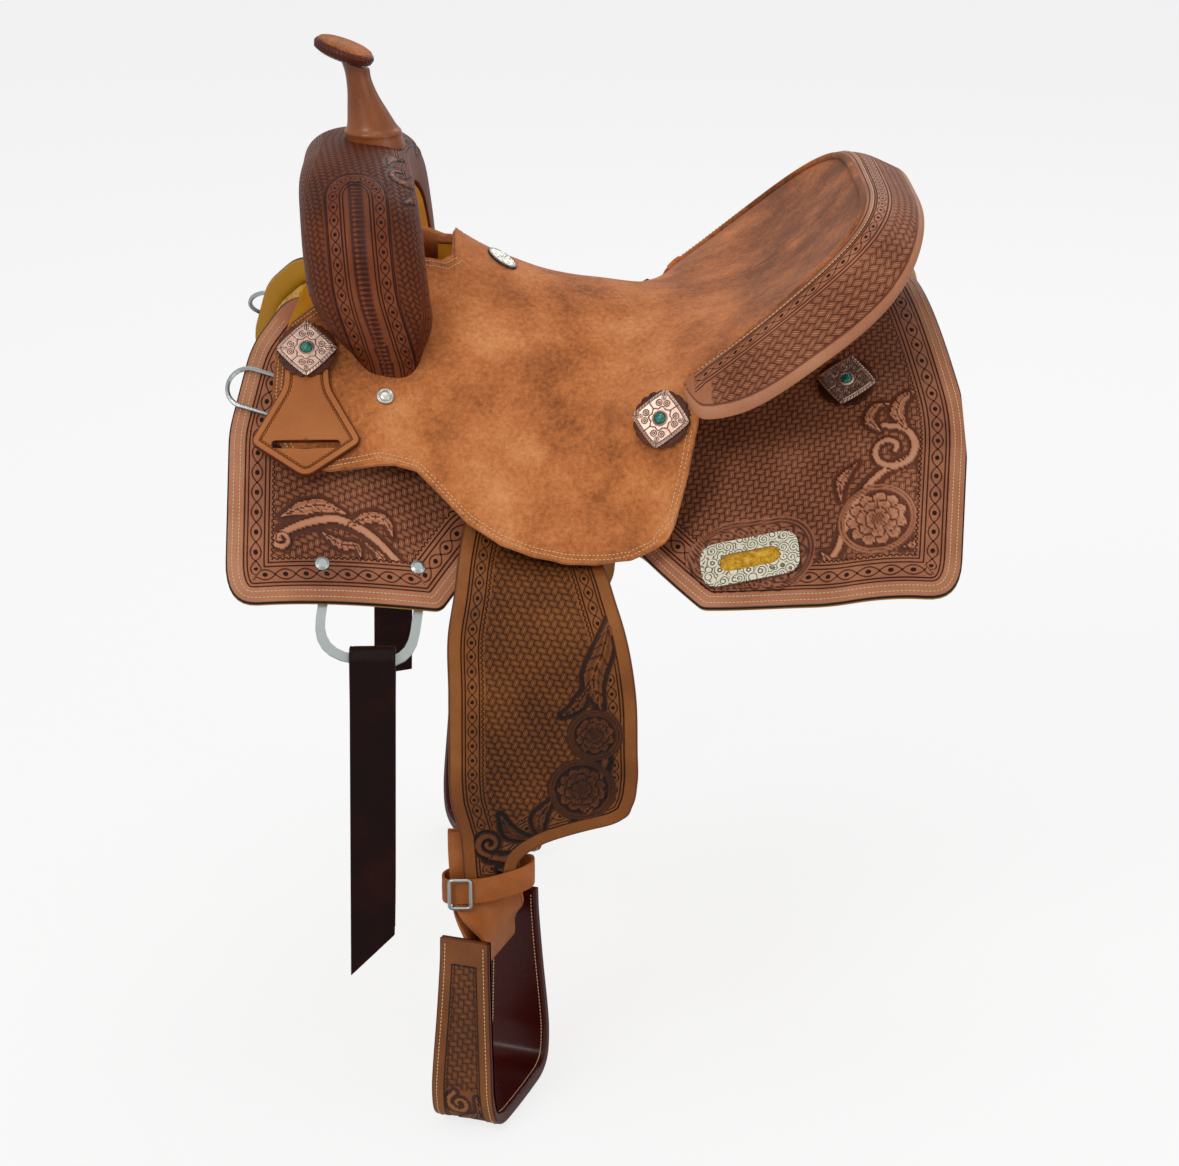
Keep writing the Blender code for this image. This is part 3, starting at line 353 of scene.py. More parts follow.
# %% [markdown]
# ## Meshes from whole arrays
# Every leather is a closed slab: a fine grid of points on its face, a turned edge, and a
# coarse back. Two maps go with it, both in millimetres: one laid flat, for stamps that
# fill a field, and one that runs along the outline, for borders and stitching. A third
# layer of numbers says how deep the tool went.

# %% Faces of a grid
def grid_quads(rows, columns, wrap=False):
    """Four corners of each cell of a grid of points numbered row by row."""
    i, j = np.meshgrid(np.arange(rows - 1), np.arange(columns if wrap else columns - 1),
        indexing="ij")
    k = (j + 1) % columns
    a, b = i * columns, (i + 1) * columns
    return np.stack([a + j, a + k, b + k, b + j], -1).reshape(-1, 4)

def tube_faces(rows, columns):
    """Faces of a tube whose rows each close round, and the cap at either end."""
    end = np.arange(columns)
    return grid_quads(rows, columns, wrap=True), [end[::-1], end + (rows - 1) * columns]

def ring_faces(rows, columns):
    """Faces of a closed ring: the last row is joined to the first."""
    quads = grid_quads(rows + 1, columns, wrap=True)
    return np.where(quads >= rows * columns, quads - rows * columns, quads)


def volume(points, quads):
    p = points - points.mean(0)
    a, b, c, d = (p[quads[:, k]] for k in range(4))
    return (np.cross(a, b) * c).sum() + (np.cross(a, c) * d).sum()


# %% A finished object
def make_piece(name, points, quads, material, body, caps=(), replaces=(), maps=None, tones=None,
        sharp=50, slot=None, far=False):
    """Points in millimetres and quads become an object whose faces look outwards. Caps are
    rows of points that close an end, maps are per-point (u, v), and far mirrors it."""
    points = np.reshape(points, (-1, 3)).astype(float)
    if far:
        points = points * [1, -1, 1]
    if volume(points, quads) < 0:
        quads = quads[:, ::-1]
        caps = [cap[::-1] for cap in caps]
    mesh = bpy.data.meshes.new(name)
    loops = np.concatenate([quads.ravel(), *caps]).astype(np.int32)
    sizes = [4] * len(quads) + [len(cap) for cap in caps]
    starts = np.r_[0, np.cumsum(sizes)[:-1]].astype(np.int32)
    mesh.vertices.add(len(points))
    mesh.vertices.foreach_set("co", (points * MM).astype(np.float32).ravel())
    mesh.loops.add(len(loops))
    mesh.loops.foreach_set("vertex_index", loops)
    mesh.polygons.add(len(sizes))
    mesh.polygons.foreach_set("loop_start", starts)
    for key, uv in (maps or {}).items():
        layer = mesh.uv_layers.new(name=key)
        layer.data.foreach_set("uv", np.reshape(uv, (-1, 2)).astype(np.float32)[loops].ravel())
    if tones is not None:
        layer = mesh.attributes.new("tooling", "FLOAT_COLOR", "POINT")
        layer.data.foreach_set("color", np.asarray(tones, np.float32).ravel())
    mesh.update(calc_edges=True)
    mesh.validate()
    mesh.shade_smooth()
    mesh.set_sharp_from_angle(angle=math.radians(sharp))
    obj = bpy.data.objects.new(name, mesh)
    bpy.context.scene.collection.objects.link(obj)
    mesh.materials.append(material)
    if body:
        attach(obj, body)
    if replaces:
        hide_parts(*replaces)
    return obj

def make_pair(name, points, quads, material, body, caps=(), node=None, **more):
    """The near piece and its mirror image. A body or node with two sides is named without
    its side."""
    return [make_piece(f"{name}_{side}", points, quads, material,
        body if body == "saddle" else f"{body}_{side}", caps,
        (f"{node}_{side}",) if node else (), far=sign < 0, **more)
        for side, sign in SIDES]


# %% Distance to an outline
def edge_map(line, u, v, closed=True):
    """For each point, how far the outline is, and how far along it the nearest place is."""
    ring = np.concatenate([line, line[:1]]) if closed else line
    length = np.linalg.norm(np.diff(ring, axis=0), axis=1).sum()
    ring = evenly(ring, int(length / 1.2) + 2)
    a, d = ring[:-1], np.diff(ring, axis=0)
    points = np.stack([np.ravel(u), np.ravel(v)], -1)
    far, arc = np.empty(len(points)), np.empty(len(points))
    step = length / len(a)
    for first in range(0, len(points), 20000):
        p = points[first:first + 20000]
        gap = p[:, None, :] - a[None, :, :]
        squared = (gap**2).sum(-1)
        near = squared.argmin(1)
        best, where = np.full(len(p), 1e9), np.zeros(len(p))
        for shift in (-1, 0):
            k = (near + shift) % len(a)
            rel = p - a[k]
            t = np.clip((rel * d[k]).sum(1) / (d[k] ** 2).sum(1), 0, 1)
            away = np.linalg.norm(rel - d[k] * t[:, None], axis=1)
            closer = away < best
            best = np.where(closer, away, best)
            where = np.where(closer, (k + t) * step, where)
        far[first:first + 20000], arc[first:first + 20000] = best, where
    return far.reshape(np.shape(u)), arc.reshape(np.shape(u))


def laid_flat(surface, x, y):
    """Length down the surface from the ridge to y, along a line of constant x."""
    t = (np.arange(40) + 0.5) / 40
    ys = y[..., None] * t
    xs = np.broadcast_to(x[..., None], ys.shape)
    gy = (surface(xs, ys + 0.5) - surface(xs, ys - 0.5))
    return np.sqrt(1 + gy * gy).mean(-1) * y


def spread(table):
    """Positions whose spacing follows a table of (position, spacing)."""
    at, gap = np.array(table, float).T
    fine = np.linspace(at[0], at[-1], 4000)
    count = np.r_[0, np.cumsum(np.diff(fine) / np.interp((fine[1:] + fine[:-1]) / 2, at, gap))]
    return np.interp(np.linspace(0, count[-1], int(count[-1]) + 2), count, fine)


def slab(top, normal, edge, relief, thickness, coarse=10, round_edge=1.6):
    """Points and faces of a leather: its carved face, a turned edge, and its back."""
    drop = round_edge - np.sqrt(np.maximum(0, round_edge**2 - np.maximum(0, round_edge - edge) ** 2))
    face = top + normal * (relief - drop)[..., None]
    pick = np.linspace(0, top.shape[1] - 1, coarse).round().astype(int)[::-1]
    under = top[:, pick] - normal[:, pick] * thickness
    points = np.concatenate([face, under], 1)
    rows, columns = points.shape[:2]
    quads, caps = tube_faces(rows, columns)
    return points.reshape(-1, 3), quads, caps, pick


def with_back(values, pick, fill=None):
    """Numbers of the face, repeated for the points of the back."""
    behind = values[:, pick] if fill is None else np.full_like(values[:, pick], fill)
    joined = np.concatenate([values, behind], 1)
    return joined.reshape(-1, *values.shape[2:])


# %% [markdown]
# ## Leather finishes
# Tooled leather is carved wet, dyed, and wiped, so that the dark stays in the cuts and
# the high places stay light. One family of materials does this: a ramp of browns is
# driven by the carving numbers, by the basket stamp and by the border stamps, and the
# same numbers raise the surface as bump. The stamps are sums in the shader, because a
# basket of 4 mm cells is finer than any mesh of this saddle should be.

# %% Stamps as sums on (u, v) in millimetres
def basket(g, u, v, cell):
    """Herringbone basket: blocks two cells long lie flat or upright by (column - row) mod 4,
    each with three ridges that dip at its ends."""
    x, y = g.divide(u, cell), g.divide(v, cell)
    i, j = g.floor(x), g.floor(y)
    fx, fy = g.subtract(x, i), g.subtract(y, j)
    k = g.floored_modulo(g.subtract(i, j), 4.0)
    flat = g.less_than(k, 1.5)
    lying = g.multiply(g.add(k, fx), 0.5)
    upright = g.multiply(g.add(g.subtract(3.0, k), fy), 0.5)
    along = g.node("Mix", flat, None, upright, lying)
    across = g.node("Mix", flat, None, fx, fy)
    ridge = g.absolute(g.sine(g.multiply(across, 3 * math.pi)))
    end = g.sine(g.multiply(g.multiply(along, 1.0, clamp=True), math.pi))
    side = g.sine(g.multiply(across, math.pi))
    ends = g.multiply(g.power(end, 0.45), g.power(side, 0.3))
    return g.multiply(g.power(ridge, 0.4), ends, clamp=True)


def groove(g, dist, at, width):
    """1 in the middle of a cut line that runs at this distance from the edge."""
    off = g.absolute(g.subtract(dist, at))
    return g.subtract(1.0, g.divide(off, width), clamp=True)


def leaf_band(g, arc, dist, low, high, pitch):
    """A run of pointed leaves: two arcs that meet at each end, a dark eye, a dot between."""
    a = g.fract(g.divide(arc, pitch))
    a = g.subtract(g.multiply(a, 2.0), 1.0)
    b = g.divide(g.subtract(dist, (low + high) / 2), (high - low) / 2)
    far = g.absolute(b)
    squared = g.multiply(a, a)
    eye = g.add(g.divide(squared, 0.075), g.power(g.divide(far, 0.36), 2.0))
    eye = g.multiply(g.subtract(1.0, eye), 3.0, clamp=True)
    bow = g.multiply(g.subtract(1.0, squared), 0.8)
    line = g.divide(g.absolute(g.subtract(far, bow)), 0.17)
    line = g.subtract(1.0, line, clamp=True)
    tip = g.divide(g.subtract(1.0, g.absolute(a)), 0.12)
    dot = g.add(g.multiply(tip, tip), g.power(g.divide(far, 0.22), 2.0))
    dot = g.multiply(g.subtract(1.0, dot), 3.0, clamp=True)
    cut = g.maximum(g.maximum(eye, dot), g.multiply(line, 0.75))
    return g.multiply(cut, g.less_than(far, 1.0))


def scallops(g, arc, dist, at, radius):
    """A row of half rings that stand on a line."""
    a = g.fract(g.divide(arc, 2 * radius))
    a = g.multiply(g.subtract(a, 0.5), 2 * radius)
    b = g.subtract(dist, at)
    ring = g.sqrt(g.add(g.multiply(a, a), g.multiply(b, b)))
    off = g.divide(g.absolute(g.subtract(ring, 0.75 * radius)), 0.3 * radius)
    return g.multiply(g.subtract(1.0, off, clamp=True), g.greater_than(b, 0.0))


STAMPS = {"groove": groove, "leaves": leaf_band, "scallops": scallops}


# %% A leather
def new_finish(name, roughness, **fixed):
    """A material, its graph and its shader, with the sockets that stay constant set."""
    material = bpy.data.materials.new(name)
    material.use_nodes = True
    shader = material.node_tree.nodes["Principled BSDF"]
    shader.inputs["Roughness"].default_value = roughness
    for key, value in fixed.items():
        shader.inputs[key.replace("_", " ")].default_value = value
    return material, Graph(material.node_tree), shader


def uv_of(g, name):
    """u and v of a map, in millimetres."""
    return g.split(g.node("UVMap", uv_map=name))[:2]


def turned(g, u, v, degrees):
    c, s = math.cos(math.radians(degrees)), math.sin(math.radians(degrees))
    return (g.add(g.multiply(u, c), g.multiply(v, -s)),
        g.add(g.multiply(u, s), g.multiply(v, c)))


def position(g):
    return g.tree.nodes.new("ShaderNodeTexCoord").outputs["Object"]

def tooling_of(g):
    """Tone, basket, dye and face shares of the tooling layer."""
    layer = g.tree.nodes.new("ShaderNodeAttribute")
    layer.attribute_name = "tooling"
    parts = g.tree.nodes.new("ShaderNodeSeparateColor")
    g.join(layer.outputs["Color"], parts.inputs[0])
    return *parts.outputs[:3], layer.outputs["Alpha"]


def bump(g, shader, height, millimetres, strength=1.0):
    node = g.tree.nodes.new("ShaderNodeBump")
    node.inputs["Strength"].default_value = strength
    node.inputs["Distance"].default_value = millimetres * MM
    g.join(height, node.inputs["Height"])
    g.join(node.outputs[0], shader.inputs["Normal"])


def tooled(name, browns, bands=(), cell=4.4, turn=0.0, dye=(20, 14, 12), gloss=0.2, roughness=0.5,
        under=(150, 100, 58)):
    """Carved leather. browns run from the cuts to the high places; bands are border
    stamps, each a name and its sizes; the tooling layer holds depth, basket and dye."""
    material, g, shader = new_finish(name, roughness, Specular_IOR_Level=gloss)
    depth, field, dyed, face = tooling_of(g)
    u, v = uv_of(g, "plan")
    weave = basket(g, *turned(g, u, v, turn), cell)
    sunk = g.multiply(field, g.subtract(1.0, weave))
    cut = sunk
    if bands:
        arc, dist = uv_of(g, "border")
        for stamp, *sizes in bands:
            inputs = (dist,) if stamp == "groove" else (arc, dist)
            cut = g.maximum(cut, STAMPS[stamp](g, *inputs, *sizes))
    cut = g.multiply(cut, face)
    place = position(g)
    cloud = g.noise(place, 14.0, 4.0)
    pores = g.noise(place, 900.0, 2.0)
    shade = g.add(depth, g.multiply(cut, -0.6))
    shade = g.multiply_add(field, 0.14, shade)
    shade = g.swing(cloud, 0.55, shade)
    shade = g.swing(pores, 0.22, shade, clamp=True)
    colour = g.ramp(shade, (0.0, 0.3, 0.58, 0.95), browns)
    nap = g.blend(pores, rgb(*(0.8 * c for c in under)), rgb(*under))
    colour = g.blend(face, nap, g.blend(dyed, colour, rgb(*dye)))
    g.join(colour, shader.inputs["Base Color"])
    variation = g.multiply_add(cut, 0.22, roughness - 0.05)
    variation = g.multiply_add(dyed, -0.16, variation)
    g.join(g.multiply_add(cloud, 0.12, variation), shader.inputs["Roughness"])
    height = g.multiply_add(cut, -1.0, g.multiply(pores, 0.10))
    bump(g, shader, height, 0.7)
    return material


CHESTNUT = ((34, 14, 8), (100, 54, 34), (166, 106, 76), (212, 156, 122))

skirt_leather = tooled("skirt_chestnut", CHESTNUT, (
    ("groove", 15.0, 0.8), ("groove", 18.0, 0.8), ("leaves", 19.5, 30.5, 18.0),
    ("groove", 32.0, 0.8), ("groove", 35.5, 0.8), ("scallops", 37.5, 2.6)), turn=8,
    under=(214, 154, 36))
print("finishes so far:", len(bpy.data.materials))

# %% [markdown]
# ## Carving with strokes
# Floral carving is a set of tapered strokes. Each stem or leaf is swelled in its middle,
# cut round with a swivel knife and bevelled down outside, and the ground behind is
# matted dark. A stroke here is a smooth path and a width along it; every grid point
# takes its height and tone from its distance to the path.

# %% Strokes, leaves and roses
def smooth_path(points, count=70):
    """A curve through the control points, evenly sampled."""
    points = np.array(points, float)
    index = np.arange(len(points))
    at = np.linspace(0, len(points) - 1, 160)
    curve = np.stack([through(np.c_[index, points[:, k]], at) for k in (0, 1)], -1)
    return evenly(curve, count)


class Carving:
    """Height in millimetres and tone, 0 dark to 1 light, on a leather laid flat."""

    def __init__(self, u, v):
        self.u, self.v = u, v
        self.height = np.zeros(u.shape)
        self.tone = np.full(u.shape, 0.55)
        self.ground = np.zeros(u.shape)

    def near(self, low, high, reach):
        return np.nonzero((self.u > low[0] - reach) & (self.u < high[0] + reach)
            & (self.v > low[1] - reach) & (self.v < high[1] + reach))

    def matted(self, at, share):
        """Dark stippled ground where share is above 0."""
        u, v = self.u[at], self.v[at]
        stipple = np.sin(u * 3.1 + v * 0.7) * np.sin(v * 2.9 - u * 0.9)
        new = share > self.ground[at]
        self.ground[at] = np.where(new, share, self.ground[at])
        self.tone[at] = np.where(new & (self.height[at] <= 0),
            0.55 - share * (0.33 + 0.08 * stipple), self.tone[at])
        self.height[at] = np.where(new & (self.height[at] <= 0), -0.7 * share, self.height[at])

    def stroke(self, points, widths, vein=0.0, ground=4.0):
        """A stem or leaf: widths run along the path; vein cuts its middle line."""
        path = smooth_path(points)
        at = self.near(path.min(0), path.max(0), max(widths) + ground + 1)
        gap = np.stack([self.u[at], self.v[at]], -1)[:, None] - path[None]
        squared = (gap**2).sum(-1)
        k = squared.argmin(1)
        off, t = np.sqrt(squared.min(1)), k / (len(path) - 1)
        width = np.interp(t, np.linspace(0, 1, len(widths)), widths)
        self.matted(at, ease((width + ground - off) / 1.5))
        inside = off < width
        dome = np.sqrt(np.clip(1 - (off / width) ** 2, 0, 1))
        ridge = 0.15 * np.cos(off / np.maximum(width, 0.4) * 6.5)
        tone = 0.5 + 0.28 * dome + (ridge if vein else 0)
        tone = np.where(off > width - 0.7, 0.12, tone)
        if vein:
            tone = np.where((off < vein) & (t > 0.08) & (t < 0.9), 0.15, tone)
            feather = np.abs(np.sin(t * 24 - off / np.maximum(width, 1) * 2.4))
            tone = np.where((feather < 0.18) & (off > vein), 0.22, tone)
        self.tone[at] = np.where(inside, tone, self.tone[at])
        self.height[at] = np.where(inside, 0.9 * dome - 0.25, self.height[at])

    def rose(self, centre, radius, petals=7):
        """A ringed flower: three rows of scalloped petals round a seeded middle."""
        at = self.near(np.array(centre), np.array(centre), radius + 8)
        du, dv = self.u[at] - centre[0], self.v[at] - centre[1]
        r, a = np.hypot(du, dv), np.arctan2(dv, du)
        self.matted(at, ease((radius + 4 - r) / 1.5))
        ring = np.abs(r - radius) < 2.8
        dome = np.abs(np.sin((r - radius) / 2.8 * math.pi)) ** 0.6
        tone = np.where(ring, 0.16 + 0.44 * dome, self.tone[at])
        height = np.where(ring, 0.9 * dome - 0.2, self.height[at])
        for row, (share, count) in enumerate(((0.84, petals + 4), (0.6, petals), (0.36, petals - 2))):
            wave = np.abs(np.sin(a * count / 2 + row * 0.9))
            edge = radius * share * (0.86 + 0.16 * wave)
            inside = r < edge
            slope = np.clip(r / edge, 0, 1)
            vein = np.abs(np.sin(a * count * 1.5 + row))
            petal = 0.34 + 0.42 * slope**2 - 0.2 * (vein < 0.22)
            petal = np.where((edge - r < 1.1) | (wave < 0.16), 0.13, petal)
            tone = np.where(inside, petal, tone)
            height = np.where(inside, 0.9 * slope**2 - 0.5 + 0.15 * row, height)
        seed = r < radius * 0.14
        dots = np.sin(du * 2.6) * np.sin(dv * 2.6)
        self.tone[at] = np.where(seed, 0.35 + 0.25 * dots, tone)
        self.height[at] = np.where(seed, 0.6 + 0.2 * dots, height)

    def scroll(self, centre, radius, start, turns=1.2, width=3.4, side=1):
        """A stem that winds in to an eye, its radius shrinking with the angle."""
        a = math.radians(start) + side * np.linspace(0, turns * math.tau, 12)
        r = radius * np.linspace(1, 0.16, 12)
        points = np.stack([centre[0] + r * np.cos(a), centre[1] + r * np.sin(a)], -1)
        self.stroke(points, (width * 0.8, width, width * 0.8, width * 0.7), ground=3)


def tones_of(carving, field, dyed, pick):
    """The tooling layer: depth of tone, basket, dye. The back of the leather is plain."""
    rgba = np.stack([carving.tone, field * (1 - carving.ground), dyed, np.ones_like(dyed)], -1)
    layer = with_back(rgba, pick)
    behind = with_back(np.zeros_like(dyed), pick, 1.0) > 0.5
    layer[behind] = (0.5, 0.0, 0.0, 0.0)
    return layer


# %% [markdown]
# ## Skirts
# The skirts are the large panels that lie on the horse's pad. They are the stage for the
# tooling: a black edge, two rows of stitching, a border of leaves, basket stamp in the
# field, and floral corners. Each is a sheet cut to an outline and bent over the back, so
# a column of points is run down the back at every x, and closes round the edge.

# %% Columns between the upper and lower edge of an outline
def column_ends(outline, x):
    """Lowest and highest y where lines of constant x cross a closed outline."""
    a, b = outline, np.roll(outline, -1, 0)
    width = b[:, 0] - a[:, 0]
    with np.errstate(divide="ignore", invalid="ignore"):
        t = (x[:, None] - a[None, :, 0]) / width[None]
    y = a[None, :, 1] + t * (b - a)[None, :, 1]
    hit = (t >= 0) & (t <= 1) & (width != 0)[None]
    return np.where(hit, y, np.inf).min(1), np.where(hit, y, -np.inf).max(1)


def draped_grid(outline, surface, columns, rows):
    """Points on a surface under an outline, with their normals and their place laid flat."""
    low, high = column_ends(outline, columns)
    x = np.repeat(columns[:, None], len(rows), 1)
    y = high[:, None] + (low - high)[:, None] * rows[None]
    gx, gy = slopes(surface, x, y)
    normal = np.stack([-gx, -gy, np.ones_like(gx)], -1)
    normal /= np.linalg.norm(normal, axis=-1, keepdims=True)
    top = np.stack([x, y, surface(x, y)], -1)
    return top, normal, x, laid_flat(surface, x, y)


def flat_outline(surface, line):
    """An outline in plan, as it is cut from the flat hide."""
    x, y = line[:, 0], line[:, 1]
    return np.stack([x, laid_flat(surface, x, y)], -1)


# %% Stitches
def stitch_mesh(centre, along, up, length=2.5, wide=0.42, tall=0.4):
    """Small pads of thread: four rings of six points each, swelled in the middle."""
    side = np.cross(up, along)
    turn = turn_in(6)
    rings = []
    for t, size in ((-0.5, 0.25), (-0.3, 1), (0.3, 1), (0.5, 0.25)):
        ring = (centre[:, None] + along[:, None] * t * length
            + side[:, None] * (np.cos(turn) * size * wide)[None, :, None]
            + up[:, None] * (np.sin(turn) * size * tall + (size - 1) * 0.3)[None, :, None])
        rings.append(ring)
    points = np.stack(rings, 1)
    one = grid_quads(4, 6, wrap=True)
    count = len(centre)
    quads = (one[None] + (np.arange(count) * 24)[:, None, None]).reshape(-1, 4)
    ends = np.array([[5, 4, 3, 2, 1, 0], [18, 19, 20, 21, 22, 23]])
    caps = (ends[None] + (np.arange(count) * 24)[:, None, None]).reshape(-1, 6)
    return points.reshape(-1, 3), quads, list(caps)


def thread_finish(name, colour, dark):
    material, g, shader = new_finish(name, 0.7, Specular_IOR_Level=0.25)
    twist = g.noise(position(g), 1500.0, 2.0)
    g.join(g.blend(twist, rgb(*dark), rgb(*colour)), shader.inputs["Base Color"])
    bump(g, shader, twist, 0.2)
    return material


cream_thread = thread_finish("waxed_cream_thread", (240, 214, 168), (190, 150, 100))


def inset_line(line, distance, pitch, closed=True):
    """Places at a fixed distance inside an outline, a stitch apart, and their directions."""
    ring = np.concatenate([line, line[:1]]) if closed else line
    length = np.linalg.norm(np.diff(ring, axis=0), axis=1).sum()
    fine = evenly(ring, int(length) + 2)
    ahead = np.gradient(fine, axis=0)
    ahead /= np.linalg.norm(ahead, axis=1, keepdims=True)
    area = (fine[:-1, 0] * fine[1:, 1] - fine[1:, 0] * fine[:-1, 1]).sum()
    inward = np.stack([-ahead[:, 1], ahead[:, 0]], -1) * (1 if area > 0 else -1)
    moved = fine + inward * distance
    kept = edge_map(line, moved[:, 0], moved[:, 1], closed)[0] > distance - 0.25
    moved = moved[kept]
    breaks = np.r_[0, np.nonzero(np.linalg.norm(np.diff(moved, axis=0), axis=1) > 6)[0] + 1, len(moved)]
    places, ways = [], []
    for first, last in zip(breaks[:-1], breaks[1:]):
        run = moved[first:last]
        if len(run) < 4:
            continue
        total = np.linalg.norm(np.diff(run, axis=0), axis=1).sum()
        spots = evenly(run, max(2, int(total / pitch)))
        places.append(spots[:-1])
        ways.append(np.diff(spots, axis=0))
    return np.concatenate(places), np.concatenate(ways)


def lying_on(surface):
    """Place of a flat point (x, length down) on a surface, by Newton steps on y, and its normal."""
    def place(u, q):
        y = q * 0.72
        for _ in range(14):
            gy = surface(u, y + 0.5) - surface(u, y - 0.5)
            y = y + (q - laid_flat(surface, u, y)) / np.sqrt(1 + gy * gy)
        gx, gy = slopes(surface, u, y)
        normal = np.stack([-gx, -gy, np.ones_like(gx)], -1)
        return np.stack([u, y, surface(u, y)], -1), normal
    return place


def unit(vectors):
    return vectors / np.linalg.norm(vectors, axis=-1, keepdims=True)


STITCH_PITCH, THREAD_LIFT = 3.3, 0.25


def sew(name, place, line, distances, keep=None, closed=True, slot="tooled_leather"):
    """Rows of stitches at these distances inside a flat outline, on both sides."""
    places, ways = zip(*(inset_line(line, d, STITCH_PITCH, closed) for d in distances))
    places, ways = np.concatenate(places), np.concatenate(ways)
    if keep is not None:
        wanted = keep(places[:, 0], places[:, 1])
        places, ways = places[wanted], ways[wanted]
    centre, up = place(places[:, 0], places[:, 1])
    ahead = place(places[:, 0] + ways[:, 0] * 0.5, places[:, 1] + ways[:, 1] * 0.5)[0]
    up = unit(up)
    points, quads, caps = stitch_mesh(centre + up * THREAD_LIFT, unit(ahead - centre), up)
    make_pair(name, points, quads, cream_thread, "saddle", caps, slot=slot)
    return len(centre)


# %% Skirt outline and its carving
SKIRT_OUTLINE = rounded((
    (-232, -66, 0), (-260, -70, 40), (-291, -106, 60), (-308, -160, 60), (-308, -265, 26),
    (-129, -254, 14), (-87, -205, 24), (29, -200, 24), (86, -255, 18), (190, -285, 200),
    (296, -298, 30), (316, -165, 150), (287, -20, 14), (284, -4, 0), (210, -4, 30),
    (121, -34, 60), (-58, -46, 60)))


def carve_skirt(u, q):
    """Front: a scroll with a feathered leaf. Rear: a rose, a scroll and leaves; the arch of
    leaves over the cinch slot is cut after this, in skirts(). Places are on the hide laid flat."""
    c = Carving(u, q)
    c.stroke([(-158, -312), (-186, -291), (-211, -284), (-229, -288), (-250, -299), (-268, -312)],
        (3.6, 4.2, 4.0, 3.4), ground=5)
    c.scroll((-262, -312), 9, 150, 1.3, 3.0)
    c.stroke([(-262, -292), (-246, -282), (-228, -275), (-208, -277)], (1.5, 6.5, 6.0, 1.2), vein=0.6)
    c.stroke([(-206, -286), (-190, -274), (-176, -272), (-170, -284)], (1.5, 5.0, 5.5, 1.2), vein=0.6)
    c.stroke([(-228, -300), (-212, -306), (-200, -303), (-196, -312)], (1.5, 4.6, 4.0, 1.0), vein=0.6)
    c.stroke([(-192, -298), (-180, -306), (-172, -318)], (1.2, 3.8, 1.0), vein=0.5)
    c.stroke([(176, -316), (196, -306), (206, -284), (216, -262), (236, -240), (262, -226)],
        (3.0, 3.8, 3.8, 3.0), ground=5)
    c.scroll((248, -216), 25, 100, 1.35, 4.0, side=-1)
    c.rose((233, -281), 30)
    c.stroke([(262, -196), (256, -180), (262, -166), (274, -158)], (2.0, 6.5, 5.0, 1.0), vein=0.6)
    c.stroke([(240, -196), (232, -184), (238, -172), (250, -170)], (1.4, 4.5, 4.0, 1.0), vein=0.5)
    c.stroke([(186, -302), (196, -316), (214, -320), (226, -318)], (1.4, 5.0, 4.6, 1.0), vein=0.6)
    c.stroke([(252, -312), (264, -308), (270, -296)], (1.4, 4.4, 1.0), vein=0.5)
    c.stroke([(204, -256), (206, -238), (220, -224)], (1.4, 5.0, 1.0), vein=0.5)
    c.stroke([(270, -262), (276, -246), (270, -232)], (1.2, 4.4, 1.0), vein=0.5)
    return c


SLOT_CENTRE = (127.9, -287.6)


def slot_share(u, q):
    """Below 1 inside the rear cinch slot, in the plate's own frame."""
    (cu, cq), turn = SLOT_CENTRE, math.radians(-11)
    a = (u - cu) * math.cos(turn) + (q - cq) * math.sin(turn)
    b = -(u - cu) * math.sin(turn) + (q - cq) * math.cos(turn)
    return np.hypot(np.maximum(0, np.abs(a) - 18), b) / 9


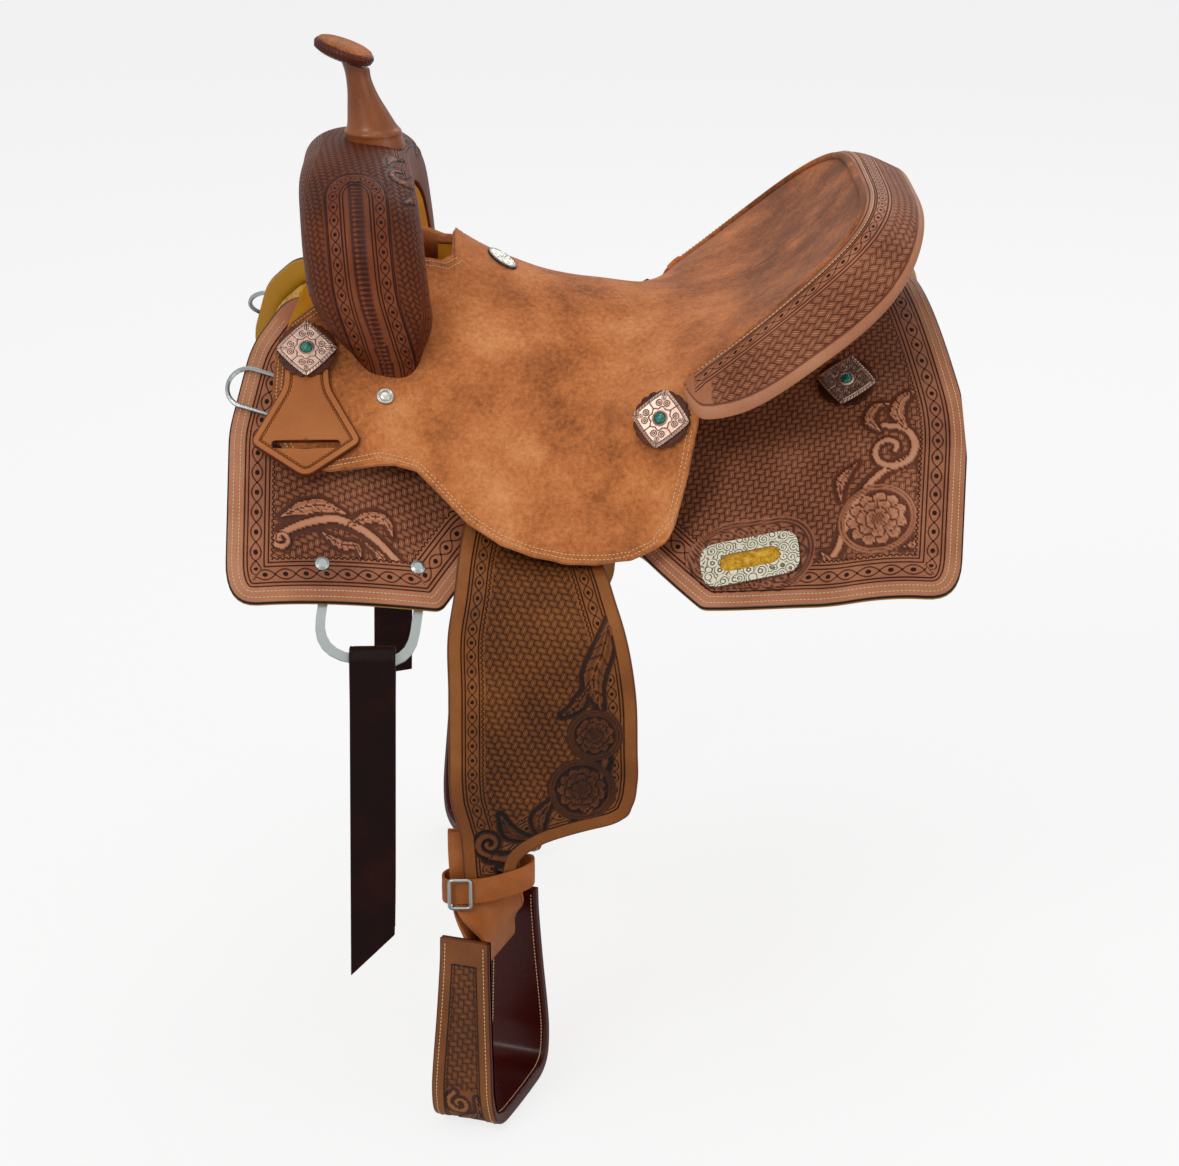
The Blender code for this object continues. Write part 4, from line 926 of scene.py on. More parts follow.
def skirts():
    columns = spread(((-307.9, 0.06), (-304, 0.7), (-290, 1.0), (-160, 1.1), (-130, 1.8), (150, 1.8),
        (175, 1.15), (290, 1.1), (308, 0.8), (311.5, 0.06)))
    rows = spread(((0, 0.001), (0.01, 0.006), (0.35, 0.008), (0.5, 0.0045), (0.985, 0.0045), (1, 0.001)))
    top, normal, u, q = draped_grid(SKIRT_OUTLINE, back, columns, rows)
    line = flat_outline(back, evenly(np.concatenate([SKIRT_OUTLINE, SKIRT_OUTLINE[:1]]), 900)[:-1])
    dist, arc = edge_map(line, u, q)
    c = carve_skirt(u, q)
    edge = dist
    ring = np.concatenate([line, line[:1]])
    run = run_along(ring)
    by_x, by_q = np.interp(arc, run, ring[:, 0]), np.interp(arc, run, ring[:, 1])
    ridge = (by_q > -100) & (by_x > -238) & (by_x < 272)
    dist = np.where(ridge, 60, dist)
    border = dist < 40
    share = slot_share(u, q)
    relief = np.where(border & (dist < 37), 0, c.height) - 0.5 * bell(dist, 16.5, 2)
    relief = np.where(share < 1, -4.3, relief)
    c.ground = np.where(border, 0, c.ground)
    c.tone = np.where(border, 0.62 - 0.1 * (dist > 14), c.tone)
    over = share * 9
    arch = (over > 10) & (over < 36) & (dist > 14)
    bend = np.arctan2(q - SLOT_CENTRE[1], u - SLOT_CENTRE[0])
    lines = sum(bell(over, at, 0.5) for at in (14.5, 17.5, 30.5, 33.5))
    leaf = np.abs(over - 24) - 4.6 * np.abs(np.sin(bend * 9.5))
    dots = ((over - 24) / 1.6) ** 2 + (np.sin(bend * 9.5 + math.pi / 2) / 0.3) ** 2
    lines = lines + np.exp(-leaf**2 / 0.8) + 1.2 * np.exp(-dots)
    c.tone = np.where(arch, 0.56 - 0.45 * np.clip(lines, 0, 1), c.tone)
    relief = np.where(arch, -0.5 * np.clip(lines, 0, 1), relief)
    c.ground = np.where(arch, 0, c.ground)
    # The floor of the cinch slot's recess is painted dark: painted shade inside the hole.
    c.tone = np.where(share < 1, 0.2, c.tone)
    dist = np.where(arch & (dist > 18), 80, dist)
    field = ((dist > 40) & (share > 4.0)).astype(float)
    dyed = ease((1.8 - dist) / 0.8)
    points, quads, caps, pick = slab(top, normal, edge, relief, 4.6)
    maps = {"plan": with_back(np.stack([u, q], -1), pick),
        "border": with_back(np.stack([arc, np.where(ridge & (dist < 40), 60, dist)], -1), pick)}
    tones = tones_of(c, field, dyed, pick)
    make_pair("tooled_skirt", points, quads, skirt_leather, "saddle", caps, "skirt", maps=maps, tones=tones,
        slot="tooled_leather")
    made = sew("skirt_stitching", lying_on(back), line, (5.3, 10.6),
        keep=lambda x, d: (d < -110) | (x > 250) | (x < -270))
    print("skirt:", points.shape[0], "points, stitches a side:", made)


skirts()

# %% [markdown]
# ## Seat
# The seat is one hide from the hand hole to the cantle, with both jockeys. On a barrel
# saddle it is laid rough side out, so that the rider does not slide: the face is suede,
# brushed in patches, and two rows of stitches follow its edge. Half of it is worked out
# and mirrored, and the two halves share the points of the centre line.

# %% Rough-out leather
def suede(name, low, mid, high):
    """Napped leather: brushed patches, short fibres, and a soft sheen."""
    material, g, shader = new_finish(name, 0.92, Specular_IOR_Level=0.12, Sheen_Weight=0.12,
        Sheen_Roughness=0.6)
    place = position(g)
    brushed = g.noise(place, 16.0, 5.0, 0.6)
    nap = g.noise(place, 260.0, 4.0, 0.7)
    fibre = g.noise(place, 1100.0, 2.0, 0.7)
    shade = g.swing(brushed, 1.5, 0.5)
    shade = g.swing(nap, 0.9, shade)
    shade = g.swing(fibre, 0.5, shade, clamp=True)
    along = g.split(place)[0]
    # Darker toward both ends of the seat: behind x = 60 mm toward the cantle, and in front of x = -170 mm
    # toward the fork.
    variation = g.multiply(g.subtract(along, 0.06), 6.0, clamp=True)
    variation = g.maximum(variation, g.multiply(g.subtract(-0.17, along), 9.0, clamp=True))
    shade = g.multiply_add(variation, -0.42, shade, clamp=True)
    g.join(g.ramp(shade, (0.05, 0.5, 0.95), (low, mid, high)), shader.inputs["Base Color"])
    height = g.add(g.multiply(nap, 0.6), g.multiply(fibre, 0.4))
    bump(g, shader, height, 0.5)
    return material


rough_out = suede("rough_out_suede", (118, 66, 34), (190, 113, 63), (222, 150, 96))

# %% Seat outline and grid
SEAT_EDGE = np.array((
    (-117.5, 0), (-117.6, -18), (-118, -36), (-128, -48), (-148, -56), (-193, -74), (-226, -90),
    (-239, -98), (-257, -108), (-269, -126), (-271, -152), (-266.5, -178), (-253, -193),
    (-222, -198), (-168, -195), (-150, -199), (-128, -216), (-107, -232), (-79, -244),
    (-53, -249), (-25, -251), (-1, -249), (29, -241), (49, -230), (66, -220), (76, -212),
    (84, -200), (90, -188), (96, -177.6)), float)


def mirrored(points, quads, caps, layers):
    """A half with points on the plane y = 0, and its mirror image, sharing those points."""
    count = len(points)
    shared = np.abs(points[:, 1]) < 1e-6
    number = np.cumsum(~shared) - 1 + count
    other = np.where(shared, np.arange(count), number)
    whole = np.concatenate([points, (points * [1, -1, 1])[~shared]])
    quads = np.concatenate([quads, other[quads][:, ::-1]])
    caps = list(caps) + [other[cap][::-1] for cap in caps]
    return whole, quads, caps, [np.concatenate([layer, layer[~shared]]) for layer in layers]


def seat_piece():
    rim = rim_curve(500, 0.998)
    rim = rim[(rim[:, 0] > 97) & (rim[:, 1] <= 0.01)]
    line = np.concatenate([SEAT_EDGE, rim])
    columns = spread(((-270.9, 0.06), (-267, 1.2), (-240, 2.2), (-125, 1.6), (-117, 0.5), (-108, 1.8),
        (60, 2.0), (76, 1.0), (98, 1.0), (110, 2.0), (200, 2.0), (229, 0.8), (231.6, 0.06)))
    rows = spread(((0, 0.004), (0.05, 0.01), (0.8, 0.01), (0.985, 0.004), (1, 0.0012)))
    top, normal, u, q = draped_grid(line, seat, columns, rows)
    flat = flat_outline(seat, line)
    dist, arc = edge_map(flat, u, q, closed=False)
    top[:, 0, 1] = np.where(top[:, 0, 1] > -0.02, 0, top[:, 0, 1])
    normal[..., 1] = np.where(np.abs(top[..., 1]) < 1e-6, 0, normal[..., 1])
    relief = -0.35 * bell(dist, 3.4, 0.5) - 0.35 * bell(dist, 7.4, 0.5)
    points, quads, caps, pick = slab(top, normal, dist, relief, 4.2, coarse=12)
    points[np.abs(points[:, 1]) < 1e-3, 1] = 0
    whole = np.abs(points[quads, 1]).max(1) > 1e-6
    plan = with_back(np.stack([u, q], -1), pick)
    points, quads, caps, (plan,) = mirrored(points, quads[whole], caps, [plan])
    make_piece("rough_out_seat", points, quads, rough_out, "saddle", caps, ("seat_leather",),
        {"plan": plan}, slot="rough_out_leather")
    made = sew("seat_stitching", lying_on(seat), flat, (3.4, 7.4), closed=False,
        keep=lambda x, d: (x < 80) & (d < -42), slot="rough_out_leather")
    print("seat:", len(points), "points, stitches a side:", made)


seat_piece()

# %% [markdown]
# ## Cantle roll
# The roll is the padded collar round the top of the cantle. Its section swells out from
# the seat's edge, turns over the rim and tucks in below, and it grows from a rounded tip
# at each end. The section is carried along the rim's curve; distance across it is the
# border map, so the leaf band and the basket follow the rim all the way round.

# %% Sections along the rim
ROLL_WIDTH = ((0, 12), (0.06, 24), (0.3, 42), (0.6, 50), (0.85, 56), (1, 52))
ROLL_DROP = ((0, 6), (0.06, 16), (0.3, 42), (0.6, 48), (0.85, 34), (1, 12))
ROLL_SHAPE = np.array((
    (1.0, 0.5, 0), (0.14, 3.5, 0.02), (0.45, 4, 0.22), (0.8, 2, 0.66), (0.97, 1, 0.93),
    (1.0, -2.5, 1.0), (0.95, -5, 1.0), (0.75, -7, 0.66), (0.4, -8, 0.24), (1.0, -8, 0.02)))


def refined(points, at):
    """A smooth curve through rows of points (axis 1), read at fractional places."""
    slope = np.gradient(points, axis=1)
    i = np.clip(np.floor(at).astype(int), 0, points.shape[1] - 2)
    t = (at - i)[None, :, None]
    a, b, sa, sb = points[:, i], points[:, i + 1], slope[:, i], slope[:, i + 1]
    return ((2 * t**3 - 3 * t**2 + 1) * a + (3 * t**2 - 2 * t**3) * b
        + (t**3 - 2 * t**2 + t) * sa + (t**3 - t**2) * sb)


def grid_normals(points, towards):
    """Normals of a grid of points, on the side that towards points to."""
    normal = unit(np.cross(np.gradient(points, axis=0), np.gradient(points, axis=1)) + 1e-12)
    return normal * np.where((normal * towards).sum(-1, keepdims=True) < 0, -1, 1)


def roll_grid(stations):
    """The roll's section at points spread along the rim."""
    rim = rim_curve(900)
    ahead = unit(np.gradient(rim, axis=0))
    keep = rim[:, 0] > 73
    rim, ahead = rim[keep], ahead[keep]
    at = np.linspace(0, len(rim) - 1, stations)
    pick = np.arange(len(rim))
    rim = np.stack([np.interp(at, pick, rim[:, k]) for k in (0, 1)], -1)
    out = unit(np.stack([np.interp(at, pick, ahead[:, 1]), -np.interp(at, pick, ahead[:, 0])], -1))
    along = np.clip((rim[:, 0] - RIM_START) / RIM_LENGTH, 0, 1)
    wide, drop = through(ROLL_WIDTH, along), through(ROLL_DROP, along)
    reach = ROLL_SHAPE[None, :, 0] * wide[:, None]
    reach[:, 0] = reach[:, -1] = 1
    xy = rim[:, None] + out[:, None] * reach[..., None]
    z = rim_height(rim[:, 0])[:, None] + ROLL_SHAPE[None, :, 1] - ROLL_SHAPE[None, :, 2] * drop[:, None]
    over = seat(xy[..., 0], xy[..., 1]) + np.where(np.arange(10) > 4, 4, 7.5)[None]
    z = np.where((rim[:, :1] < 90), np.maximum(z, over), z)
    points = np.concatenate([xy, z[..., None]], -1)
    run = run_along(rim)
    from_tip = np.minimum(run, run[-1] - run)
    tip = np.sqrt(1 - (1 - np.clip(from_tip / 16, 0.002, 1)) ** 2)
    seam = points[:, :1] * 0.5 + points[:, -1:] * 0.5
    return seam + (points - seam) * tip[:, None, None], run


ROLL_BANDS = (("groove", 4.5, 0.7), ("groove", 9.0, 0.8), ("groove", 10.8, 0.7),
    ("leaves", 11.5, 19.5, 12.0), ("groove", 20.5, 0.8), ("groove", 23.5, 0.8))
roll_leather = tooled("roll_chestnut", ((40, 17, 10), (106, 58, 38), (162, 102, 72), (204, 148, 114)),
    ROLL_BANDS, cell=4.2, turn=45)


def cantle_roll():
    sections, run = roll_grid(380)
    at = spread(((0, 0.12), (0.7, 0.06), (4.6, 0.07), (5.2, 0.2), (9, 0.4)))
    points = refined(sections, at)
    across = run_across(points)
    outer = np.array([np.interp(4.7, at, row) for row in across])[:, None]
    from_tip = np.minimum(run, run[-1] - run)[:, None]
    left = outer - across
    dist = np.minimum(across - 1.0, 200)
    middle = points[:, :1] * 0.6 + points[:, -2:-1] * 0.4
    normal = grid_normals(points, points - middle)
    basket_field = (dist > 25) & (left > 9.5) & (from_tip > 22)
    arc = np.repeat(run[:, None], len(at), 1)
    near_rim = (left < 7) | (across > outer)
    dist = np.where(near_rim | (from_tip < 8) | ((left < 11) & (dist < 25)), 80, dist)
    lip = -0.5 * bell(left, 8.5, 1.2) - 0.35 * bell(dist, 9.9, 3)
    lip = np.where(from_tip < 8, 0, lip)
    points = points + normal * lip[..., None]
    tone = np.where(near_rim, 0.68, 0.56) - 0.35 * bell(left, 8.5, 0.8)
    zero = np.zeros_like(tone)
    tones = np.stack([tone, basket_field * 1.0, zero, zero + 1], -1).reshape(-1, 4)
    maps = {"plan": np.stack([arc, across], -1),
        "border": np.stack([arc, dist], -1)}
    rows, columns = points.shape[:2]
    quads, caps = tube_faces(rows, columns)
    make_piece("tooled_cantle_roll", points, quads, roll_leather, "saddle", caps,
        ("cantle_roll",), maps, tones, slot="tooled_leather")
    centre = refined(sections, np.array([1.15, 1.3]))
    seam, beside = centre[:, 0], centre[:, 1]
    count = int(run[-1] / 3.2)
    spots, sides = evenly(seam, count)[5:-5], evenly(beside, count)[5:-5]
    welt = evenly(sections[:, 0], 220)[3:-3] - (0, 0, 1.2)
    ahead = unit(np.gradient(welt, axis=0))
    side = unit(np.cross(ahead, (0, 0, 1.0)))
    a = turn_in(12)
    tube_rows = (welt[:, None] + 3.4 * (side[:, None] * np.cos(a)[None, :, None]
        + np.cross(side, ahead)[:, None] * np.sin(a)[None, :, None]))
    quads, caps = tube_faces(len(welt), 12)
    make_piece("seam_welt", tube_rows, quads, rough_out, "saddle", caps,
        slot="rough_out_leather")
    along = unit(np.gradient(spots, axis=0))
    up = unit(np.cross(along, sides - spots))
    up = up * np.where(up[:, 2:] < 0, -1, 1)
    stitches = stitch_mesh(spots + up * 0.3, along, up)
    make_piece("roll_stitching", *stitches[:2], cream_thread, "saddle", stitches[2], slot="tooled_leather")
    print("roll:", rows * columns, "points, stitches:", count)


cantle_roll()

# %% [markdown]
# ## Fork cover and its lining
# The fork is the arch at the front that carries the horn. Wet leather is stretched over
# the wood and dries tight, so the cover is a skin at a constant distance from the wood.
# Its tooling has a leaf border along both edges, and an arched panel down each leg.

# %% The fork as a function of (station, angle)
FORK_OUTER = ((0, 201), (50, 199), (92, 191), (130, 172), (152, 140), (155, 103),
    (148, 62), (137, 30), (124, -30))
FORK_INNER = ((0, 146), (26, 144), (46, 135), (60, 119), (70, 100), (76, 82),
    (80, 62), (84, 35), (88, -10))
FORK_CENTRE = ((0, -202), (1, -201), (3, -195), (4, -192), (5, -188), (6, -178), (7, -172), (8, -170))
FORK_HALF_DEPTH = ((0, 43), (2, 46), (4, 47), (5, 46), (5.5, 43), (6, 36), (6.5, 27),
    (7, 22), (8, 20))
BAR_THICKNESS = ((-290, 9), (-250, 12), (-150, 15), (-60, 20), (60, 20), (230, 15))
COVER_OUTSIDE = 4.2


def fork_surface(t, angle, grow):
    """A squared oval section between the inner and outer curve of the arch, grown outwards."""
    stations = np.arange(9)
    size = np.abs(t)
    outer = np.stack([through(np.c_[stations, [p[k] for p in FORK_OUTER]], size) for k in (0, 1)], -1)
    inner = np.stack([through(np.c_[stations, [p[k] for p in FORK_INNER]], size) for k in (0, 1)], -1)
    reach = (outer - inner) / 2
    length = np.linalg.norm(reach, axis=-1)
    a = np.radians(angle)
    c, s = np.cos(a), np.sin(a)
    half = through(FORK_HALF_DEPTH, size) + grow
    x = through(FORK_CENTRE, size) + half * np.sign(c) * np.abs(c) ** (2 / 2.6)
    out = (length + grow) * np.sign(s) * np.abs(s) ** (2 / 2.6)
    q = (outer + inner) / 2 + reach / length[..., None] * out[..., None]
    return np.stack([x, q[..., 0] * np.where(t >= 0, -1, 1), q[..., 1]], -1)


FORK_BANDS = (("groove", 1.5, 0.7), ("leaves", 3.0, 12.0, 13.0), ("groove", 13.2, 0.8), ("groove", 16.0, 0.7))
fork_leather = tooled("fork_chestnut", ((24, 9, 5), (66, 28, 14), (112, 56, 30), (160, 98, 62)),
    FORK_BANDS, cell=4.2, turn=50, roughness=0.46)


def fork_cover():
    stations = spread(((-8, 0.03), (-6, 0.028), (0, 0.036), (6, 0.028), (8, 0.03)))
    angles = np.linspace(-18, 198, 120)
    t, a = np.meshgrid(stations, angles, indexing="ij")
    top = fork_surface(t, a, COVER_OUTSIDE)
    normal = unit(fork_surface(t, a, COVER_OUTSIDE + 1) - top)
    above = raised(back, lambda x, y: 2.2 + through(BAR_THICKNESS, x))(top[..., 0], top[..., 1])
    top[..., 2] = np.maximum(top[..., 2], above)
    middle = top[:, 60]
    run = run_along(middle)
    s = np.abs(run - run[-1] / 2)[:, None] + 0 * a
    across = run_across(top)
    r = across - across[:, 60:61]
    edge = np.minimum(across, across[:, -1:] - across)
    leg = s.max()
    half_arch = np.stack([np.r_[np.full(20, -27), 27 * np.sin(np.linspace(-math.pi / 2, math.pi / 2, 20)),
        np.full(20, 27)],
        np.r_[np.linspace(leg + 30, 128, 20),
        128 - 34 * np.cos(np.linspace(-math.pi / 2, math.pi / 2, 20)),
        np.linspace(128, leg + 30, 20)]], -1)
    far, arc = edge_map(half_arch, r, s, closed=False)
    top_of_arch = 128 - 34 * np.sqrt(np.clip(1 - (r / 27) ** 2, 0, 1))
    inside = (np.abs(r) < 27) & (s > top_of_arch)
    c = Carving(s, r)
    c.stroke([(66, -62), (84, -58), (98, -46), (96, -34), (84, -34), (80, -42)], (2.4, 5.0, 4.5, 3.0, 2.0),
        vein=0.5)
    c.stroke([(98, -60), (116, -56), (128, -44)], (1.2, 5.5, 1.0), vein=0.5)
    c.stroke([(44, -46), (56, -34), (72, -30)], (1.2, 4.6, 1.0), vein=0.5)
    braid = (np.abs(r) < 5.5) & (s > 106)
    twist = np.cos(s * 0.7 + np.sign(r) * 1.57) * 3.2
    strand = np.exp(-((np.abs(r) - np.abs(twist)) ** 2) / 1.6)
    c.tone = np.where(inside, np.where(braid, 0.2 + 0.5 * strand, 0.6), c.tone)
    c.height = np.where(inside, np.where(braid, strand - 0.5, 0.25), c.height)
    c.ground = np.where(inside, 0, c.ground)
    rim = np.exp(-(far**2) / 1.0) * (s > 90)
    c.tone = c.tone - 0.4 * rim
    c.height = c.height - 0.6 * rim
    dist = np.where(inside, far, edge - 30)
    field = ((edge > 48) & ~inside & (far > 2)).astype(float)
    points, quads, caps, pick = slab(top, normal, np.minimum(edge, 9), c.height * 0.8, 2.5)
    maps = {"plan": with_back(np.stack([s, r], -1), pick),
        "border": with_back(np.stack([np.where(inside, arc, s), dist], -1), pick)}
    make_piece("tooled_fork_cover", points, quads, fork_leather, "saddle", caps, ("fork_cover",), maps,
        tones_of(c, field, np.zeros_like(field), pick), slot="tooled_leather")
    print("fork cover:", len(points), "points, leg", round(float(leg)), "mm")


fork_cover()

# %% [markdown]
# ## Fenders
# A fender is the broad leather under the rider's leg. It comes out from under the jockey
# and hangs to the stirrup, so on the model it crosses the hinge where the solids fold.
# One continuous sheet is worked out down both of them, and it bends smoothly between.

# %% The fender as a function of (x, length down)
FENDER_LINE = ((-420, -281), (-300, -281), (-220, -281), (-185, -279), (-155, -273),
    (-133, -264), (-118, -254), (-107, -244), (-92, -225), (-70, -197))
FENDER_EDGES = np.array((
    (0, -84, -14), (0.25, -94, -9), (0.49, -104, -4), (0.75, -110, 0), (1, -115, 5),
    (1.33, -119, 13), (1.7, -124, 22), (2.37, -124.5, 31), (3.1, -125, 33), (3.5, -125, 33),
    (3.77, -123, 29), (3.92, -120, 22), (4.0, -118.5, 10), (4.06, -117.5, -8), (4.12, -116, -24),
    (4.19, -115.5, -40), (4.3, -115, -56), (4.42, -114.5, -66), (4.54, -114, -69),
    (4.66, -113, -71), (4.78, -111.5, -73)))
HANGER = raised(back, 15.5)


def fender_profile(x, p):
    """Parallel to the back for p under 1, then down the hanging line, eased across the fold."""
    y, z = -150 - 82 * p, -97.5 + 75 * (1 - p)
    w = ease((p - 0.75) / 0.5)
    return np.stack([x, y * (1 - w) + through(FENDER_LINE, z) * w, HANGER(x, y) * (1 - w) + z * w], -1)


DOWN = np.linspace(0, 4.78, 1500)
DOWN_RUN = run_along(fender_profile(np.full(1500, -56.0), DOWN))


def fender_point(x, v):
    return fender_profile(x, np.interp(v, DOWN_RUN, DOWN))


def down_to(z):
    """Length down the fender at a height below the fold."""
    return float(np.interp(1 + (-97.5 - z) / 75, DOWN, DOWN_RUN))


fender_leather = tooled("fender_olive", ((22, 10, 4), (72, 38, 16), (130, 76, 36), (178, 118, 66)), (
    ("groove", 11.5, 0.8), ("groove", 14.2, 0.7), ("leaves", 15.5, 24.5, 13.0),
    ("groove", 26.0, 0.8), ("scallops", 27.5, 2.3)), turn=-20, dye=(96, 54, 26))


def carve_fender(x, v):
    """Two roses down the right side, acanthus above them, and a scroll to the lower left."""
    c = Carving(x, v)
    d = down_to
    c.stroke([(10, d(-140)), (4, d(-166)), (-4, d(-190)), (2, d(-216))], (1.5, 8.0, 9.0, 2.0), vein=0.6)
    c.stroke([(-8, d(-196)), (-18, d(-214)), (-30, d(-222))], (1.5, 5.0, 1.2), vein=0.5)
    c.stroke([(6, d(-262)), (-6, d(-300)), (-14, d(-319)), (-40, d(-344)), (-72, d(-352)), (-92, d(-350))],
        (3.2, 4.2, 4.2, 4.0, 3.2), ground=5)
    c.scroll((-92, d(-338)), 11, 90, 1.3, 3.4)
    c.rose((-14, d(-289)), 25)
    c.rose((-3, d(-240)), 20, 6)
    c.stroke([(-40, d(-300)), (-50, d(-316)), (-48, d(-334))], (1.4, 6.0, 1.2), vein=0.6)
    c.stroke([(-58, d(-334)), (-74, d(-328)), (-82, d(-312))], (1.4, 5.4, 1.2), vein=0.6)
    c.stroke([(-84, d(-362)), (-64, d(-366)), (-50, d(-358))], (1.4, 4.2, 1.2), vein=0.5)
    return c


def fender_piece():
    lines = spread(((0, 0.3), (2, 1.4), (down_to(-305), 1.4), (down_to(-318), 0.7),
        (down_to(-338), 0.7), (down_to(-350), 1.2), (DOWN_RUN[-1], 0.5)))
    share = spread(((0, 0.003), (0.02, 0.0075), (0.98, 0.0075), (1, 0.003)))
    p = np.interp(lines, DOWN_RUN, DOWN)
    left, right = through(FENDER_EDGES[:, :2], p), through(FENDER_EDGES[:, ::2], p)
    x = left[:, None] + (right - left)[:, None] * share[None]
    v = np.repeat(lines[:, None], len(share), 1)
    top = fender_point(x, v)
    normal = grid_normals(top, np.array([0, -1.0, 0.3]))
    line = np.concatenate([np.stack([left, lines], -1), np.stack([right, lines], -1)[::-1]])
    dist, arc = edge_map(line, x, v)
    c = carve_fender(x, v)
    flower = c.ground > 0.2
    c.height = np.where(dist < 11, 0, c.height)
    c.tone = np.where(dist < 11, 0.62, c.tone)
    c.ground = np.where(dist < 11, 0, c.ground)
    low = ease((v - down_to(-150)) / 260)
    c.tone = np.where(flower & (dist > 11), c.tone * 0.72 - 0.06, c.tone) - 0.10 * low
    field = ((dist > 31) & ~flower).astype(float)
    dyed = ease((2.2 - dist) / 1.2)
    points, quads, caps, pick = slab(top, normal, dist, c.height - 0.4 * bell(dist, 12.8, 2), 5)
    maps = {"plan": with_back(np.stack([x, v], -1), pick),
        "border": with_back(np.stack([arc, np.where(flower & (dist > 11), 80, dist)], -1), pick)}
    tones = tones_of(c, field, dyed, pick)
    for side, sign in SIDES:
        obj = make_piece(f"tooled_fender_{side}", points, quads, fender_leather, None, caps,
            (f"stirrup_leather_top_{side}", f"fender_{side}"), maps, tones,
            slot="tooled_leather", far=sign < 0)
        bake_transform(obj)
    print("fender:", len(points), "points, hangs", round(float(DOWN_RUN[-1])), "mm")


fender_piece()

# %% [markdown]
# ## Smooth leathers and metals
# Straps and small leathers are plain: a pull-up colour and fine pores. Metal fittings
# are brushed steel, or a plated white metal that is engraved and darkened in its cuts.
# These finishes read the object's own coordinates.

# %% Plain leather, wool, wood and metal
def plain_leather(name, low, mid, high, roughness=0.45, gloss=0.2, basket_cell=None):
    material, g, shader = new_finish(name, roughness, Specular_IOR_Level=gloss)
    place = position(g)
    cloud, pores = g.noise(place, 22.0, 4.0), g.noise(place, 800.0, 3.0)
    shade = g.swing(cloud, 1.1, 0.5)
    shade = g.swing(pores, 0.35, shade, clamp=True)
    height = g.multiply(pores, 0.25)
    if basket_cell:
        across, up = (g.multiply(part, 1000.0) for part in g.split(place)[1:])
        weave = basket(g, *turned(g, across, up, 45), basket_cell)
        shade = g.multiply_add(weave, 0.4, g.subtract(shade, 0.35), clamp=True)
        height = g.add(height, weave)
    g.join(g.ramp(shade, (0.05, 0.5, 0.95), (low, mid, high)), shader.inputs["Base Color"])
    g.join(g.multiply_add(cloud, 0.2, roughness - 0.1), shader.inputs["Roughness"])
    bump(g, shader, height, 0.5)
    return material


def metal(name, bright, dark, roughness, engraved=False):
    """Brushed metal, or metal cut with dark curls: round each cell runs a spiral, the sine of
    its angle plus 24 times the distance."""
    material, g, shader = new_finish(name, roughness, Metallic=0.95 if not engraved else 0.85)
    place = position(g)
    cloud = g.noise(place, 60.0, 3.0)
    cut = g.multiply(cloud, 0.35)
    if engraved:
        cells = g.tree.nodes.new("ShaderNodeTexVoronoi")
        cells.inputs["Scale"].default_value = 120.0
        cells.inputs["Randomness"].default_value = 0.7
        g.join(place, cells.inputs["Vector"])
        away = g.node("VectorMath", place, cells.outputs["Position"], operation="SUBTRACT")
        x, _, z = g.split(away)
        curl = g.add(g.arctan2(z, x),
            g.multiply(cells.outputs["Distance"], 24.0))
        line = g.multiply_add(g.sine(curl), 1.7, -0.6, clamp=True)
        cut = g.maximum(line, cut)
        bump(g, shader, g.subtract(1.0, line), 0.3)
    else:
        bump(g, shader, g.noise(place, 500.0, 2.0), 0.06)
    g.join(g.blend(cut, rgb(*bright), rgb(*dark)), shader.inputs["Base Color"])
    g.join(g.multiply_add(cut, 0.35, roughness), shader.inputs["Roughness"])
    return material


def wool(name, low, mid, high):
    """Fleece: tight curls a few millimetres across, painted lighter on their tops and darker between them, as
    painted highlight and painted shade in the pile.
    """
    material, g, shader = new_finish(name, 0.95, Specular_IOR_Level=0.08, Sheen_Weight=0.4)
    place = position(g)
    curl, fibre = g.noise(place, 210.0, 4.0, 0.7), g.noise(place, 900.0, 2.0)
    # The colour follows the same curls as the bump: painted highlight on their tops, painted shade between
    # them.
    shade = g.swing(curl, 2.0, 0.5)
    shade = g.swing(fibre, 0.6, shade, clamp=True)
    g.join(g.ramp(shade, (0.1, 0.5, 0.9), (low, mid, high)), shader.inputs["Base Color"])
    bump(g, shader, g.add(curl, g.multiply(fibre, 0.4)), 2.0)
    return material


def rawhide_wood(name):
    """Wood of the tree under varnished rawhide: long grain seen through a pale skin."""
    material, g, shader = new_finish(name, 0.4, Specular_IOR_Level=0.5)
    stretch = g.tree.nodes.new("ShaderNodeMapping")
    stretch.inputs["Scale"].default_value = (1, 8, 8)
    g.join(position(g), stretch.inputs["Vector"])
    grain = g.noise(stretch.outputs[0], 18.0, 6.0)
    varnish = ((150, 108, 62), (190, 146, 92), (214, 178, 126))
    g.join(g.ramp(grain, (0.3, 0.55, 0.8), varnish), shader.inputs["Base Color"])
    bump(g, shader, grain, 0.4)
    return material


tan = plain_leather("tan_leather", (110, 58, 26), (160, 92, 46), (190, 120, 70))
burgundy = plain_leather("burgundy_latigo", (14, 4, 3), (30, 9, 6), (52, 20, 14), 0.5, 0.12)
horn_leather = plain_leather("waxed_horn_leather", (84, 40, 18), (138, 76, 38), (176, 108, 62), 0.3, 0.4)
back_leather = plain_leather("stamped_cantle_leather", (40, 17, 10), (118, 66, 42), (176, 116, 80),
    basket_cell=4.4)
golden = plain_leather("golden_lining", (150, 94, 10), (200, 136, 24), (226, 172, 52), 0.6, 0.2)
steel = metal("brushed_stainless", (176, 182, 180), (104, 110, 110), 0.3)
silver = metal("engraved_silver", (218, 212, 190), (104, 96, 78), 0.3, engraved=True)
golden_wool = wool("golden_fleece", (150, 98, 14), (206, 150, 28), (238, 196, 78))
rawhide = rawhide_wood("rawhide_over_wood")


def refinish(finish, *nodes):
    """Gives CAD solids whose shape is right a finish of their own."""
    for node in nodes:
        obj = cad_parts[node]
        obj.data.materials.clear()
        obj.data.materials.append(finish)


def both(*names):
    return [f"{name}_{side}" for name in names for side, _ in SIDES]


